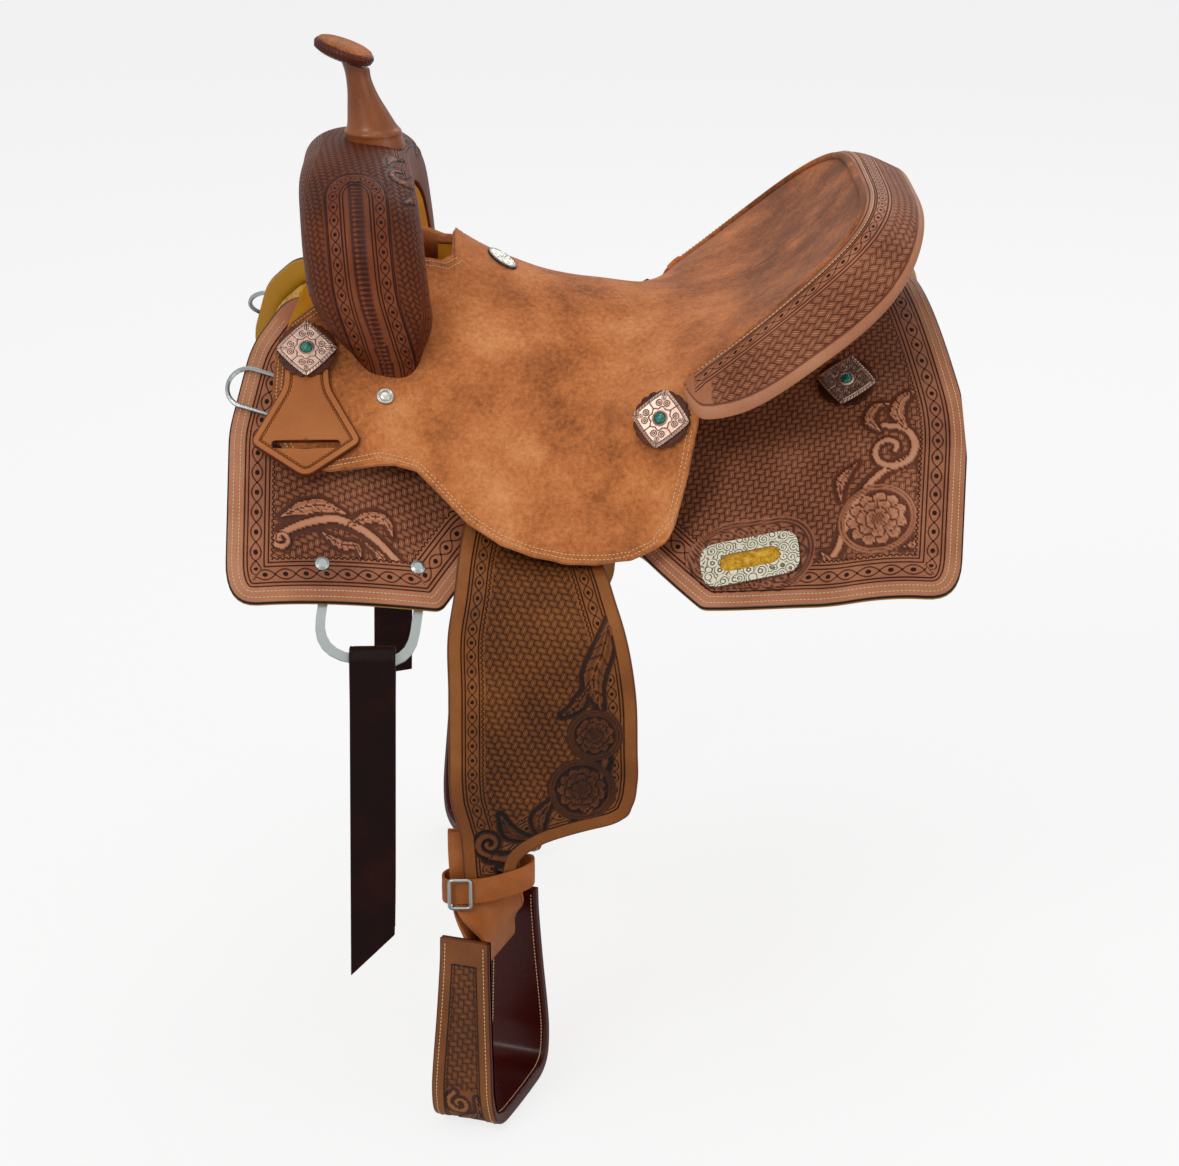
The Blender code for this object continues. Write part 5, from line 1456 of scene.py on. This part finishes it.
refinish(rawhide, "fork", "cantle_board")
refinish(golden, "gullet_lining", "ground_seat", *both("tree_bar"))
refinish(back_leather, "cantle_back")

refinish(steel, "horn_core",
    *both("rigging_dee", "rivet_front", "rivet_rear", "breast_dee", "stirrup_bolt"))
refinish(silver, *both("cinch_plate"))

# %% [markdown]
# ## Stirrups
# A bell stirrup is a strip of wood bent down, under the foot and up again, and covered in
# leather. Outside it has a stitched border round a basket-stamped panel, inside it is
# dark and polished by the boot. The section is carried along the bent strip.

# %% Section along the strip
STIRRUP_SIDE = np.array((
    (-60.5, 25, 44, 7), (-61.5, 0, 45, 7), (-65, -45, 49, 7), (-69, -90, 54, 7.5),
    (-70, -115, 56, 8), (-64, -137, 58, 9), (-49, -148, 59, 10), (-24, -150, 60, 10)))
BOLT = np.array((-92, -269, -432.0))
TURN = math.radians(69)
SPAN = np.array((math.cos(TURN), math.sin(TURN), 0))
WIDE = np.array((math.sin(TURN), -math.cos(TURN), 0))

stirrup_leather_finish = tooled("stirrup_russet", ((26, 10, 4), (70, 35, 13), (120, 69, 31), (162, 104, 56)),
    (("groove", 11.6, 0.9), ("scallops", 12.6, 2.2)), cell=4.4, turn=0,
    dye=(66, 13, 5), gloss=0.3, roughness=0.42)


def strip_section():
    """Across share, corner offset across, depth share and corner offset down, round the section."""
    outer = [(s, 0, 0, -1) for s in np.linspace(-1, 1, 44)]
    corner = np.radians(np.linspace(-90, 0, 5)[1:])
    right = [(1, math.cos(a), 0, math.sin(a)) for a in corner]
    right += [(1, math.sin(-a), 1, math.cos(a)) for a in corner[::-1]]
    inner = [(s, 0, 1, 1) for s in np.linspace(1, -1, 14)]
    left = [(-1, -c, f, d) for _, c, f, d in right[::-1]]
    return np.array(outer + right + inner + left)


def stirrup_piece():
    whole = np.concatenate([STIRRUP_SIDE, STIRRUP_SIDE[::-1] * [-1, 1, 1, 1]])
    path = refined(whole[None], np.linspace(0, 15, 330))[0]
    path = evenly(path, 330)
    ahead = unit(np.gradient(path[:, :2], axis=0))
    inward = np.stack([-ahead[:, 1], ahead[:, 0]], -1)
    section = strip_section()
    half, thick = path[:, 2:3] / 2, path[:, 3:4]
    w = section[None, :, 0] * (half - 1.6) + section[None, :, 1] * 1.6
    d = 1.6 + section[None, :, 2] * (thick - 3.2) + section[None, :, 3] * 1.6
    run = run_along(path[:, :2])[:, None]
    ends = np.minimum(run, run[-1] - run)
    outside = section[None, :, 2] * np.ones_like(run) < 0.5
    rim = half - np.abs(w)
    dist = np.where(outside, np.minimum(rim, ends + 0 * rim), 0)
    run = run + 0 * w
    c = Carving(run, w)
    for foot, s in ((150, 1), (run.max() - 150, -1)):
        c.scroll((foot, -3), 11.5, 200 if s > 0 else -20, 1.3, 3.0, side=s)
        c.stroke([(foot + 8 * s, 12), (foot + 16 * s, 4), (foot + 24 * s, -8)], (1.4, 4.0, 1.2), vein=0.5)
        c.stroke([(foot - 8 * s, 13), (foot + 2 * s, 15), (foot + 12 * s, 13)], (1.2, 3.4, 1.2), vein=0.5)
    panel = outside & (dist > 12.5) & (ends > 22) & (ends < 182)
    keep = panel & (ends > 128)
    c.height, c.ground = np.where(keep, c.height, 0), np.where(keep, c.ground, 0)
    c.tone = np.where(keep, c.tone, 0.62)
    frame_line = outside & (dist > 11) & (np.abs(ends - 22) < 0.8)
    c.tone = np.where(frame_line, 0.2, c.tone)
    leg = panel & (ends < 136)
    inside = (~outside).astype(float)
    d = d - np.where(outside, c.height * 0.7 - 0.5 * panel, 0)
    points = (BOLT + SPAN * (path[:, None, 0] + inward[:, None, 0] * d)[..., None]
        + UP * (path[:, None, 1] + inward[:, None, 1] * d)[..., None]
        + WIDE * w[..., None])
    rows, columns = w.shape
    quads, caps = tube_faces(rows, columns)
    dyed = np.maximum(inside, ease((1.8 - rim) / 1.0))
    tones = np.stack([c.tone, leg * (1 - c.ground), dyed, np.ones_like(w)], -1).reshape(-1, 4)
    border = np.where((ends > 182) | ~outside | (ends < 22), 60, rim)
    maps = {"plan": np.stack([w, run], -1),
        "border": np.stack([run, border], -1)}
    make_pair("covered_stirrup", points, quads, stirrup_leather_finish, "stirrup", caps,
        "stirrup", maps=maps, tones=tones, slot="tooled_leather")
    count = int(run.max() / 3.4)
    at = np.linspace(4, len(path) - 5, count)
    index = np.arange(len(path))
    spine = np.stack([np.interp(at, index, path[:, k]) for k in range(4)], -1)
    inn = unit(np.stack([np.interp(at, index, inward[:, k]) for k in (0, 1)], -1))
    rows = []
    for s, deep, face in ((-1, 0, -1), (1, 0, -1), (-1, 1, 1), (1, 1, 1)):
        across = s * (spine[:, 2] / 2 - 5.0)
        off = deep * spine[:, 3:4] + face * 0.25
        place = (BOLT + SPAN * (spine[:, :1] + inn[:, :1] * off) + WIDE * across[:, None]
            + UP * (spine[:, 1:2] + inn[:, 1:] * off))
        rows.append((place, unit(np.gradient(place, axis=0)),
            face * (SPAN * inn[:, :1] + UP * inn[:, 1:])))
    centre, along, up = (np.concatenate(group) for group in zip(*rows))
    stitches = stitch_mesh(centre, along, unit(up))
    make_pair("stirrup_stitching", *stitches[:2], cream_thread, "stirrup", stitches[2],
        slot="tooled_leather")
    print("stirrup:", len(points) * columns, "points, strip", round(float(run.max())), "mm")


stirrup_piece()

# %% [markdown]
# ## Straps
# A strap is a band carried along a path: the latigo and the billet fold over the rigging
# dee, the stirrup leather loops round the bolt, and the hobble strap holds the stirrup
# leather's two runs together under the fender.

# %% Straps over the dee
DEE_BAR = np.array((-194.02, -284.86, -169.28))


def strap(name, points, towards, thickness, finish, body, replaces, slot, far=False):
    """A band of leather from a grid of its middle surface, creased beside each edge."""
    normal = grid_normals(points, towards)
    across = run_across(points)
    edge = np.minimum(across, across[:, -1:] - across)
    relief = -0.35 * bell(edge, 3.0, 0.4)
    solid, quads, caps, _ = slab(points + normal * thickness / 2, normal, edge, relief, thickness, coarse=12,
        round_edge=1.2)
    return make_piece(name, solid, quads, finish, body, caps, replaces, slot=slot, far=far)


def hanging_strap(name, front, rear, slant, body, far):
    """Down in front, over the bar and down behind, the tip cut on a slant."""
    near, radius = 3.2, 10.0
    arc = np.linspace(0, math.pi, 9)
    path = np.array([(-near, -front * s) for s in (1, 0.75, 0.5, 0.25)] + [(-near - 0.6, -36), (-8, -15)]
        + [(-radius * math.cos(a), radius * math.sin(a)) for a in arc]
        + [(8, -15), (near + 0.6, -36)] + [(near, -rear * s) for s in (0.25, 0.5, 0.75, 1)])
    fine = evenly(refined(path[None], np.linspace(0, len(path) - 1, 600))[0], 300)
    share = spread(((-0.5, 0.015), (0, 0.04), (0.5, 0.015)))
    first = np.clip(1 - np.arange(300) / 35, 0, 1)
    last = 0.6 * np.clip(1 - np.arange(300)[::-1] / 35, 0, 1)
    tip = slant * (0.5 + share)[None] * (first + last)[:, None]
    z = fine[:, 1:2] + tip
    x = DEE_BAR[0] + 8 + share[None] * 38 + 0.02 * np.minimum(0, fine[:, 1:2])
    points = np.stack([x, DEE_BAR[1] + fine[:, :1] + 0 * x, DEE_BAR[2] + z], -1)
    out = np.stack([0 * x, np.where(np.arange(300) < 170, -1.0, 1.0)[:, None] + 0 * x, 0.4 + 0 * x], -1)
    centre = DEE_BAR + np.array((0, 0, -30.0))
    towards = np.where((fine[:, 1] > -16)[:, None, None], points - centre, out)
    strap(name, points, towards, 4, burgundy, body, (body,), "latigo_leather", far)


hanging_strap("burgundy_latigo_strap", 286, 266, 38, "latigo", False)
hanging_strap("burgundy_billet_strap", 240, 236, 10, "off_billet", True)


# %% Stirrup leather and hobble strap
def stirrup_leather_piece():
    radius, near = 10.5, 3.6
    drop = np.array((100, 78, 56, 44, 32, 18.0))
    down = np.stack([near + (radius - near) * ease((60 - drop) / 60), drop], -1)
    arc = np.radians(np.linspace(-20, -160, 8))
    path = np.concatenate([down, np.stack([radius * np.cos(arc), radius * np.sin(arc)], -1),
        down[::-1] * [-1, 1]])
    fine = evenly(refined(path[None], np.linspace(0, len(path) - 1, 500))[0], 160)
    n, z = fine[:, :1], fine[:, 1:]
    turn = TURN * (1 - ease((z - 6) / 44))
    share = spread(((-0.5, 0.012), (0, 0.04), (0.5, 0.012)))[None]
    away = ease(z / 90)
    x = BOLT[0] - 5 * away + np.cos(turn) * 60 * share - np.sin(turn) * n
    y = BOLT[1] + 2.5 * away + np.sin(turn) * 60 * share + np.cos(turn) * n
    points = np.stack([x, y, BOLT[2] + z + 0 * x], -1)
    centre = points[::-1] * 0.5 + points * 0.5
    towards = points - centre + np.array((0, 0, -0.01)) * (np.abs(n)[..., None] < 9)
    for side, sign in SIDES:
        strap(f"looped_stirrup_leather_{side}", points, towards, 3.6, tan, f"fender_{side}",
            (f"stirrup_leather_{side}",), "plain_leather", sign < 0)


def tube(path, radius, sides=12):
    """A round wire along a closed path that lies in one plane."""
    ahead = unit(np.roll(path, -1, 0) - np.roll(path, 1, 0))
    middle = path - path.mean(0)
    square = unit(np.cross(ahead, middle))
    out = np.cross(square, ahead)
    a = turn_in(sides)
    rings = path[:, None] + radius * (out[:, None] * np.cos(a)[None, :, None]
        + square[:, None] * np.sin(a)[None, :, None])
    return rings.reshape(-1, 3), ring_faces(len(path), sides)


def hobble():
    centre = np.array((-93, -267.5, -379))
    a = turn_in(120)
    c, s = np.cos(a), np.sin(a)
    x = 37 * np.sign(c) * np.abs(c) ** 0.6
    y = 14.5 * np.sign(s) * np.abs(s) ** 0.7
    section = np.array([(0.3, -11), (1.3, -11.4), (2.3, -11), (2.6, -10), (2.35, -8.6), (2.6, -7.4), (2.7, 0),
        (2.6, 7.4), (2.35, 8.6), (2.6, 10), (2.3, 11), (1.3, 11.4), (0.3, 11), (0, 10), (0, 0),
        (0, -10)])
    n = unit(np.stack([c, s * 1.6, 0 * c], -1))
    base = centre + np.stack([x, y, 0.12 * x + 0.16 * np.maximum(x, 0)], -1)
    rows = (base[:, None] + n[:, None] * section[None, :, :1]
        + UP * section[None, :, 1:])
    corner = rounded(((-9, -13, 3), (9, -13, 3), (9, 13, 3), (-9, 13, 3)), 6)
    at = centre + np.array((-24, -19.8, -2.5))
    wire = at + np.stack([corner[:, 0], 0 * corner[:, 0], corner[:, 1]], -1)
    ring = tube(evenly(np.concatenate([wire, wire[:1]]), 65)[:-1], 1.6)
    make_pair("hobble", rows, ring_faces(*rows.shape[:2]), tan, "fender", (), "hobble_strap",
        slot="plain_leather")
    make_pair("hobble_buckle_frame", *ring, steel, "fender", (), "hobble_buckle", slot="steel")


stirrup_leather_piece()
hobble()
print("straps done")

# %% [markdown]
# ## Horn
# The horn's neck is wrapped in waxed leather that is pulled tight and seamed behind. Its
# cap is a flat pad of rough-out leather with a dark edge, laced round and round.

# %% Neck, cap and lacing
CAP = np.array((-210.5, 0, 281.5))
TILT = math.radians(20)
CAP_AXIS = np.array((math.sin(TILT), 0, math.cos(TILT)))
CAP_REAR = np.array((math.cos(TILT), 0, -math.sin(TILT)))


def horn():
    t = np.linspace(0.1, 1, 90)
    foot, head = np.array((-182, 0, 190.0)), CAP + CAP_REAR * 12 - CAP_AXIS * 8
    sizes = ((0, 24), (0.25, 23.5), (0.33, 21), (0.5, 17), (0.72, 12.8), (0.9, 11.8), (1, 13))
    centre = foot + (head - foot) * t[:, None]
    tilt = TILT * ease((t - 0.3) / 0.7)
    across = np.stack([np.cos(tilt), 0 * t, -np.sin(tilt)], -1)
    a = turn_in(96)
    away = np.minimum(np.abs(a), math.tau - np.abs(a))
    seam = 0.8 * np.exp(-((away * 14 - 1.6) ** 2) / 1.5)
    welt = 1.6 * np.exp(-((t - 0.27) / 0.035) ** 2)
    r = through(sizes, t)[:, None] + seam[None] * (t > 0.3)[:, None]
    r = r + welt[:, None] * (1 + 0.12 * np.cos(a * 26))
    points = (centre[:, None] + across[:, None] * (r * np.cos(a))[..., None]
        + OVER * (r * np.sin(a))[..., None])
    quads, caps = tube_faces(len(t), 96)
    make_piece("wrapped_horn_neck", points, quads, horn_leather, "saddle", caps,
        ("horn_wrap",), slot="plain_leather")
    disc = lathe(((0.5, 6.9), (14, 6.8), (20, 6.2), (23.4, 4.9),
        (24.3, 3.6), (23.6, 2.2), (12, 1.5), (0.5, 1.5)),
        lambda radius, z, turn: radius * (1 + 0.012 * np.cos(2 * turn)))
    make_piece("horn_cap_pad", *disc[:2], rough_out, "saddle", disc[2], ("horn_cap",),
        slot="rough_out_leather")
    lace = lathe(((17, 3.4), (22.6, 3.6), (25.6, 2.6), (26.9, 0), (25.6, -4.4),
        (20, -6.9), (8, -7.4), (8, 0)),
        lambda radius, z, turn:
        radius + 0.55 * (radius > 21) * np.abs(np.sin(turn * 21 + z * 0.35)) - 0.3)
    make_piece("horn_cap_lacing", *lace[:2], burgundy_edge, "saddle", lace[2], ("horn_cap",),
        slot="latigo_leather")


def lathe(profile, radius_of):
    """A closed profile turned about the cap's axis, its radius altered round the turn."""
    line = evenly(np.concatenate([np.array(profile, float), np.array(profile[:1], float)]), 90)[:-1]
    turn = turn_in(252)
    r, z = line[None, :, 0], line[None, :, 1] + 0 * turn[:, None]
    r = radius_of(r + 0 * z, z, turn[:, None])
    points = (CAP + CAP_AXIS * z[..., None] + CAP_REAR * (r * np.cos(turn)[:, None])[..., None]
        + OVER * (r * np.sin(turn)[:, None])[..., None])
    return points.reshape(-1, 3), ring_faces(*points.shape[:2]), ()


burgundy_edge = plain_leather("laced_cap_edge", (38, 12, 8), (84, 34, 20), (126, 62, 42), 0.4, 0.25)
horn()

# %% [markdown]
# ## Conchos, buttons and plaque
# Each concho is an engraved diamond of white metal with a turquoise bead in a beaded
# bezel, on a scalloped rosette of dark leather. A concho is a polar grid: its outline is
# a diamond with bowed sides, and the engraving is cut into its height.

# %% Frames on a surface
def seated(x, y, surface, radius, turn=0.0):
    """Origin and axes of a flat piece that lies on a surface, just clear of it all round."""
    gx, gy = (float(v) for v in slopes(surface, np.array(float(x)), np.array(float(y)), 1.0))
    normal = unit(np.array((-gx, -gy, 1.0)))
    right = unit(np.array((1.0, 0, gx)))
    up = np.cross(normal, right)
    origin = np.array((x, y, float(surface(np.array(float(x)), np.array(float(y))))))
    a = np.tile(turn_in(12), 2)
    ring = np.repeat((0.5, 1.0), 12) * radius
    p = origin + right * (ring * np.cos(a))[:, None] + up * (ring * np.sin(a))[:, None]
    lift = max(0.0, float(((surface(p[:, 0], p[:, 1]) - p[:, 2]) * normal[2]).max()))
    c, s = math.cos(turn), math.sin(turn)
    return origin + normal * lift, right * c + up * s, up * c - right * s, normal


def polar(frame_at, radius, height, lift, rings=30, around=160, depth=0.0):
    """A closed disc: radius(angle) scaled by the share, raised by height(share, angle, x, y)."""
    origin, right, up, normal = frame_at
    a = np.linspace(0, math.tau, around + 1)[:-1][None]
    share = np.r_[np.linspace(0.01, 0.94, rings), 0.97, 1.0, 1.0][:, None]
    r = share * radius(a)
    x, y = r * np.cos(a), r * np.sin(a)
    z = height(share + 0 * a, a + 0 * share, x, y)
    z[-1] = 0
    points = origin + right * x[..., None] + up * y[..., None] + normal * (lift + z)[..., None]
    return points.reshape(-1, 3), *tube_faces(len(share), around), z


def diamond(half, squareness):
    power = squareness
    return lambda a: half / (np.abs(np.cos(a)) ** power + np.abs(np.sin(a)) ** power) ** (1 / power)


def concho_height(share, a, x, y):
    """A dished plate with a roped edge, a ring of scrolls, and a bezel in the middle."""
    z = np.interp(share, (0, 0.42, 0.84, 1.0), (2.4, 2.4, 2.8, 1.5))
    r = np.hypot(x, y)
    fold = np.abs(((a + math.pi / 4) % (math.pi / 2)) - math.pi / 4)
    ax, ay = r * np.cos(fold), r * np.abs(np.sin(fold))
    curl = np.hypot(ax - 13.2, ay - 3.4)
    tip = np.hypot(ax - 18.6, ay * 1.6)
    line = bell(curl, 2.5, 0.1) + bell(curl, 1.0, 0.1)
    line += bell(tip, 2.6, 0.1) + np.exp(-(ay**2) / 0.06) * (r > 16.5)
    line += np.exp(-(((ax - ay) * 0.707) ** 2) / 0.08) * (r > 10)
    line += bell(share, 0.88, 0.00015)
    line += np.exp(-((r - 9.4 - 0.9 * np.cos(a * 8)) ** 2) / 0.12)
    rope = 0.3 * np.sin(a * 44 + share * 30) * (share > 0.9)
    z = z - 0.5 * np.clip(line, 0, 1) * (r > 7.4) + rope * (share < 0.99)
    bezel = bell(r, 5.6, 0.4) * (1.5 + 0.35 * np.cos(a * 18))
    return z + bezel


def metal_with_tone(name, bright, dark, roughness):
    """Plated metal that is dark where the tooling layer is low."""
    material, g, shader = new_finish(name, roughness, Metallic=0.85)
    cloud = g.noise(position(g), 300.0, 3.0)
    shade = g.swing(cloud, 0.35, tooling_of(g)[0], clamp=True)
    g.join(g.blend(shade, rgb(*dark), rgb(*bright)), shader.inputs["Base Color"])
    g.join(g.multiply_add(cloud, 0.25, roughness - 0.1), shader.inputs["Roughness"])
    bump(g, shader, cloud, 0.1)
    return material


def turquoise_stone():
    material, g, shader = new_finish("turquoise", 0.25, Specular_IOR_Level=0.6)
    vein = g.absolute(g.subtract(g.noise(position(g), 420.0, 3.0), 0.5))
    shade = g.multiply(vein, 9.0, clamp=True)
    g.join(g.blend(shade, rgb(24, 62, 52), rgb(26, 146, 128)), shader.inputs["Base Color"])
    bump(g, shader, shade, 0.1)
    return material


antique = metal_with_tone("antiqued_white_metal", (190, 158, 142), (40, 26, 22), 0.36)
plaque_metal = metal_with_tone("antiqued_silver", (214, 210, 200), (56, 48, 42), 0.3)
turquoise = turquoise_stone()
rosette_leather = plain_leather("rosette_dark_leather", (30, 12, 7), (78, 38, 22), (118, 68, 44))


def toned(z, level, spread_of=0.5):
    """Tone of engraved metal: bright above the level, dark below it."""
    tone = np.clip(0.5 + (z - level) / spread_of, 0.05, 1).ravel()
    return np.stack([tone, 0 * tone, 0 * tone, 0 * tone + 1], -1)


def upright(frame_at):
    """The same frame turned in its plane, so that its first axis is level."""
    origin, _, _, normal = frame_at
    right = unit(np.cross((0, 0, 1.0), normal))
    right = right * (1 if right[0] > 0 else -1)
    return origin, right, np.cross(normal, right), normal


def concho(place, frame_at, lift):
    frame_at = upright(frame_at)
    scallop = lambda a: 23.4 + 1.7 * np.abs(np.cos(a * 9)) ** 0.7
    leather = lambda share, a, x, y: 2.4 - 0.9 * ease((share - 0.9) / 0.1) - 0.5 * bell(share, 0.88, 0.0004)
    dots = polar(frame_at, scallop, leather, lift, 16, 200)
    plate = polar(frame_at, diamond(25.5, 1.12), concho_height, lift + 2.8, 64, 240)
    bead = polar(frame_at, lambda a: 4.7 + 0 * a,
        lambda share, a, x, y: 2.4 + 3.0 * np.sqrt(np.clip(1 - share**2 * 0.98, 0, 1)),
        lift + 2.8, 16, 40)
    level = np.interp(np.repeat(np.r_[np.linspace(0.01, 0.94, 64), 0.97, 1, 1], 240), (0, 0.42, 0.84, 1),
        (2.1, 2.1, 2.5, 1.2)).reshape(67, 240)
    make_pair(f"rosette_leather_{place}", *dots[:2], rosette_leather, "saddle", dots[2], f"rosette_{place}",
        slot="rosette_leather")
    make_pair(f"engraved_concho_{place}", *plate[:2], antique, "saddle", plate[2], f"concho_{place}",
        tones=toned(plate[3], level), slot="antique_copper")
    make_pair(f"turquoise_{place}", *bead[:2], turquoise, "saddle", bead[2], slot="antique_copper")


concho("front", seated(-242, -127, seat, 26), 6.2)
concho("middle", seated(56, -188, seat, 26), 0.5)
concho("rear", seated(216, -127, back, 24), 0.5)


# %% Snap buttons and the plaque
def small_metal():
    snap = lambda share, a, x, y: (1.5 + 1.1 * bell(share, 0.82, 0.01)
        + 1.2 * np.sqrt(np.clip(1 - (share / 0.6) ** 2, 0, 1)))
    button = polar(seated(-176, -154, seat, 8), lambda a: 7.3 + 0 * a, snap, 0.5, 30, 64)
    make_pair("snap_button", *button[:2], plaque_metal, "saddle", button[2], "seat_button",
        tones=toned(button[3], 1.5, 1.0), slot="silver_plate")

    def leafy(share, a, x, y):
        bead = 0.5 * np.abs(np.cos(a * 20)) * (share > 0.86) * (share < 0.99)
        petal = 0.5 * np.cos(a * 8) * np.sin(share * 9) * (share < 0.8)
        return np.interp(share, (0, 0.8, 1), (2.4, 2.0, 1.2)) + bead + 0.5 * petal

    oval = polar(seated(-77, -12, seat, 10, math.radians(-40)),
        lambda a: 16 * 10.5 / np.hypot(10.5 * np.cos(a), 16 * np.sin(a)), leafy, 0.5, 40, 160)
    make_piece("seat_plaque", *oval[:2], plaque_metal, "saddle", oval[2], ("seat_badge",),
        tones=toned(oval[3], 2.0, 0.9), slot="silver_plate")


small_metal()
print("conchos, buttons and plaque done")

# %% [markdown]
# ## Fleece
# The underside is lined with synthetic fleece, which carries the saddle on the horse. It
# is a thick pile that stands in soft clumps. The clumps are a sum of waves on the
# underside, fine enough to break up the outline, and the curls are left to the finish.

# %% Fleece pads
FLEECE_OUTLINE = rounded((
    (-232, -73, 0), (-256, -77, 40), (-284, -110, 60), (-300, -160, 60), (-300, -246, 24),
    (-136, -236, 14), (-94, -194, 24), (35, -189, 24), (94, -236, 18), (288, -282, 28),
    (306, -165, 150), (279, -26, 14), (276, -11, 0), (212, -11, 30), (124, -41, 60),
    (-58, -53, 60)))


def fleece_pads():
    under = raised(back, -19.2)
    columns = spread(((-299.9, 0.06), (-296, 2.0), (290, 2.0), (301, 1.0), (303.2, 0.06)))
    rows = np.linspace(0, 1, 130)
    top, normal, u, q = draped_grid(FLEECE_OUTLINE, under, columns, rows)
    line = flat_outline(under, FLEECE_OUTLINE)
    dist, _ = edge_map(line, u, q)
    clump = (np.sin(u * 0.42 + 1.7 * np.sin(q * 0.23)) * np.sin(q * 0.46 + 1.9 * np.sin(u * 0.19))
        + 0.6 * np.sin(u * 0.93 + 2.1 * np.sin(q * 0.61)) * np.sin(q * 1.01 + 1.3))
    relief = 0.9 * clump - 0.8
    points, quads, caps, _ = slab(top, -normal, dist, relief, 9.8, coarse=16, round_edge=5)
    for pad in make_pair("fleece_lining", points, quads, golden_wool, "saddle", caps, "fleece",
            slot="fleece", sharp=80):
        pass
    print("fleece:", len(points), "points")


fleece_pads()

# %% [markdown]
# ## Latigo keepers and slot linings
# The keeper is a leather drop under the front concho. A long slot in it takes the spare
# end of the latigo. It is a ring-shaped grid between the slot and the outline, so the
# slot goes right through. The yellow lining that shows in the rear cinch slot is a thin
# oval set just under the plate.

# %% Keepers
keeper_leather = tooled("keeper_tan", ((104, 52, 22), (140, 78, 38), (166, 98, 52), (196, 128, 78)), (
    ("groove", 6.0, 0.6), ("scallops", 6.6, 1.6)), dye=(92, 44, 20))


def by_angle(line, centre, angles):
    """Distance from a centre to an outline, at given angles."""
    line = evenly(np.concatenate([line, line[:1]]), 3000)[:-1] - centre
    a = np.arctan2(line[:, 1], line[:, 0]) % math.tau
    order = np.argsort(a)
    return np.interp(angles, a[order], np.hypot(*line.T)[order], period=math.tau)


def keepers():
    origin, right, up, normal = seated(-242, -127, seat, 26)
    down = np.array((right[2], up[2])) * -1
    turn = math.atan2(down[0], -down[1])
    c, s = math.cos(turn), math.sin(turn)
    right, up = right * c + up * s, up * c - right * s
    outline = rounded(((-17, 14, 12), (17, 14, 12), (20, -34, 30), (47, -84, 8), (0, -117, 14),
        (-47, -84, 8), (-20, -34, 30)))
    slot = rounded(((-28, -89.6, 3.5), (28, -89.6, 3.5), (28, -82.4, 3.5), (-28, -82.4, 3.5)))
    centre = np.array((0, -86.0))
    spots = [evenly(np.concatenate([line, line[:1]]), 150)[:-1] - centre for line in (outline, slot)]
    angles = np.sort(np.concatenate([np.arctan2(p[:, 1], p[:, 0]) % math.tau for p in spots]))
    far, near = by_angle(outline, centre, angles), by_angle(slot, centre, angles)
    share = spread(((0, 0.03), (0.5, 0.03), (0.9, 0.015), (1, 0.008)))
    r = near[:, None] + (far - near)[:, None] * share[None]
    x, y = centre[0] + r * np.cos(angles)[:, None], centre[1] + r * np.sin(angles)[:, None]
    dist, arc = edge_map(evenly(np.concatenate([outline, outline[:1]]), 500)[:-1], x, y)
    inner = r - near[:, None]
    drop = 1.5 - np.sqrt(np.maximum(0, 1.5**2 - np.maximum(0, 1.5 - np.minimum(dist, inner + 0.4)) ** 2))
    z = 5.8 - drop - 0.4 * bell(dist, 6, 0.5) - 0.25 * ease((dist - 6.5) / 1.5)
    under = [np.interp(np.linspace(0, share.size - 1, 8), np.arange(share.size), row) for row in x], \
            [np.interp(np.linspace(0, share.size - 1, 8), np.arange(share.size), row) for row in y]
    xb, yb = (np.array(rows)[:, ::-1] for rows in under)
    full = [np.concatenate([x, xb], 1), np.concatenate([y, yb], 1), np.concatenate([z, 0 * xb + 1.2], 1)]
    points = origin + right * full[0][..., None] + up * full[1][..., None] + normal * full[2][..., None]
    rows, columns = points.shape[:2]
    quads = ring_faces(rows, columns)
    distance = np.concatenate([dist, 0 * xb + 60], 1)
    arcs = np.concatenate([arc, 0 * xb], 1)
    dyed = np.concatenate([np.maximum(ease((1.6 - dist) / 0.8), ease((1.2 - inner) / 0.6)), 0 * xb + 1], 1)
    pale = 0 * dyed + 0.6 - 0.05 * (distance > 6)
    tones = np.stack([pale, 0 * dyed, dyed, 0 * dyed + 1], -1).reshape(-1, 4)
    maps = {"plan": np.stack(full[:2], -1),
        "border": np.stack([arcs, distance], -1)}
    make_pair("keeper_drop", points, quads, keeper_leather, "saddle", (), "latigo_keeper",
        maps=maps, tones=tones, slot="plain_leather")
    oval = polar(seated(128, -235, back, 38, math.radians(-11)),
        lambda a: ((np.abs(np.cos(a)) / 26.2) ** 6 + (np.abs(np.sin(a)) / 8.2) ** 6) ** (-1 / 6),
        lambda share, a, x, y: 0.7 + 0 * share, 0.2, 16, 80)
    make_pair("slot_lining", *oval[:2], golden_wool, "saddle", oval[2], slot="fleece")
    print("keepers:", rows * columns, "points")


keepers()
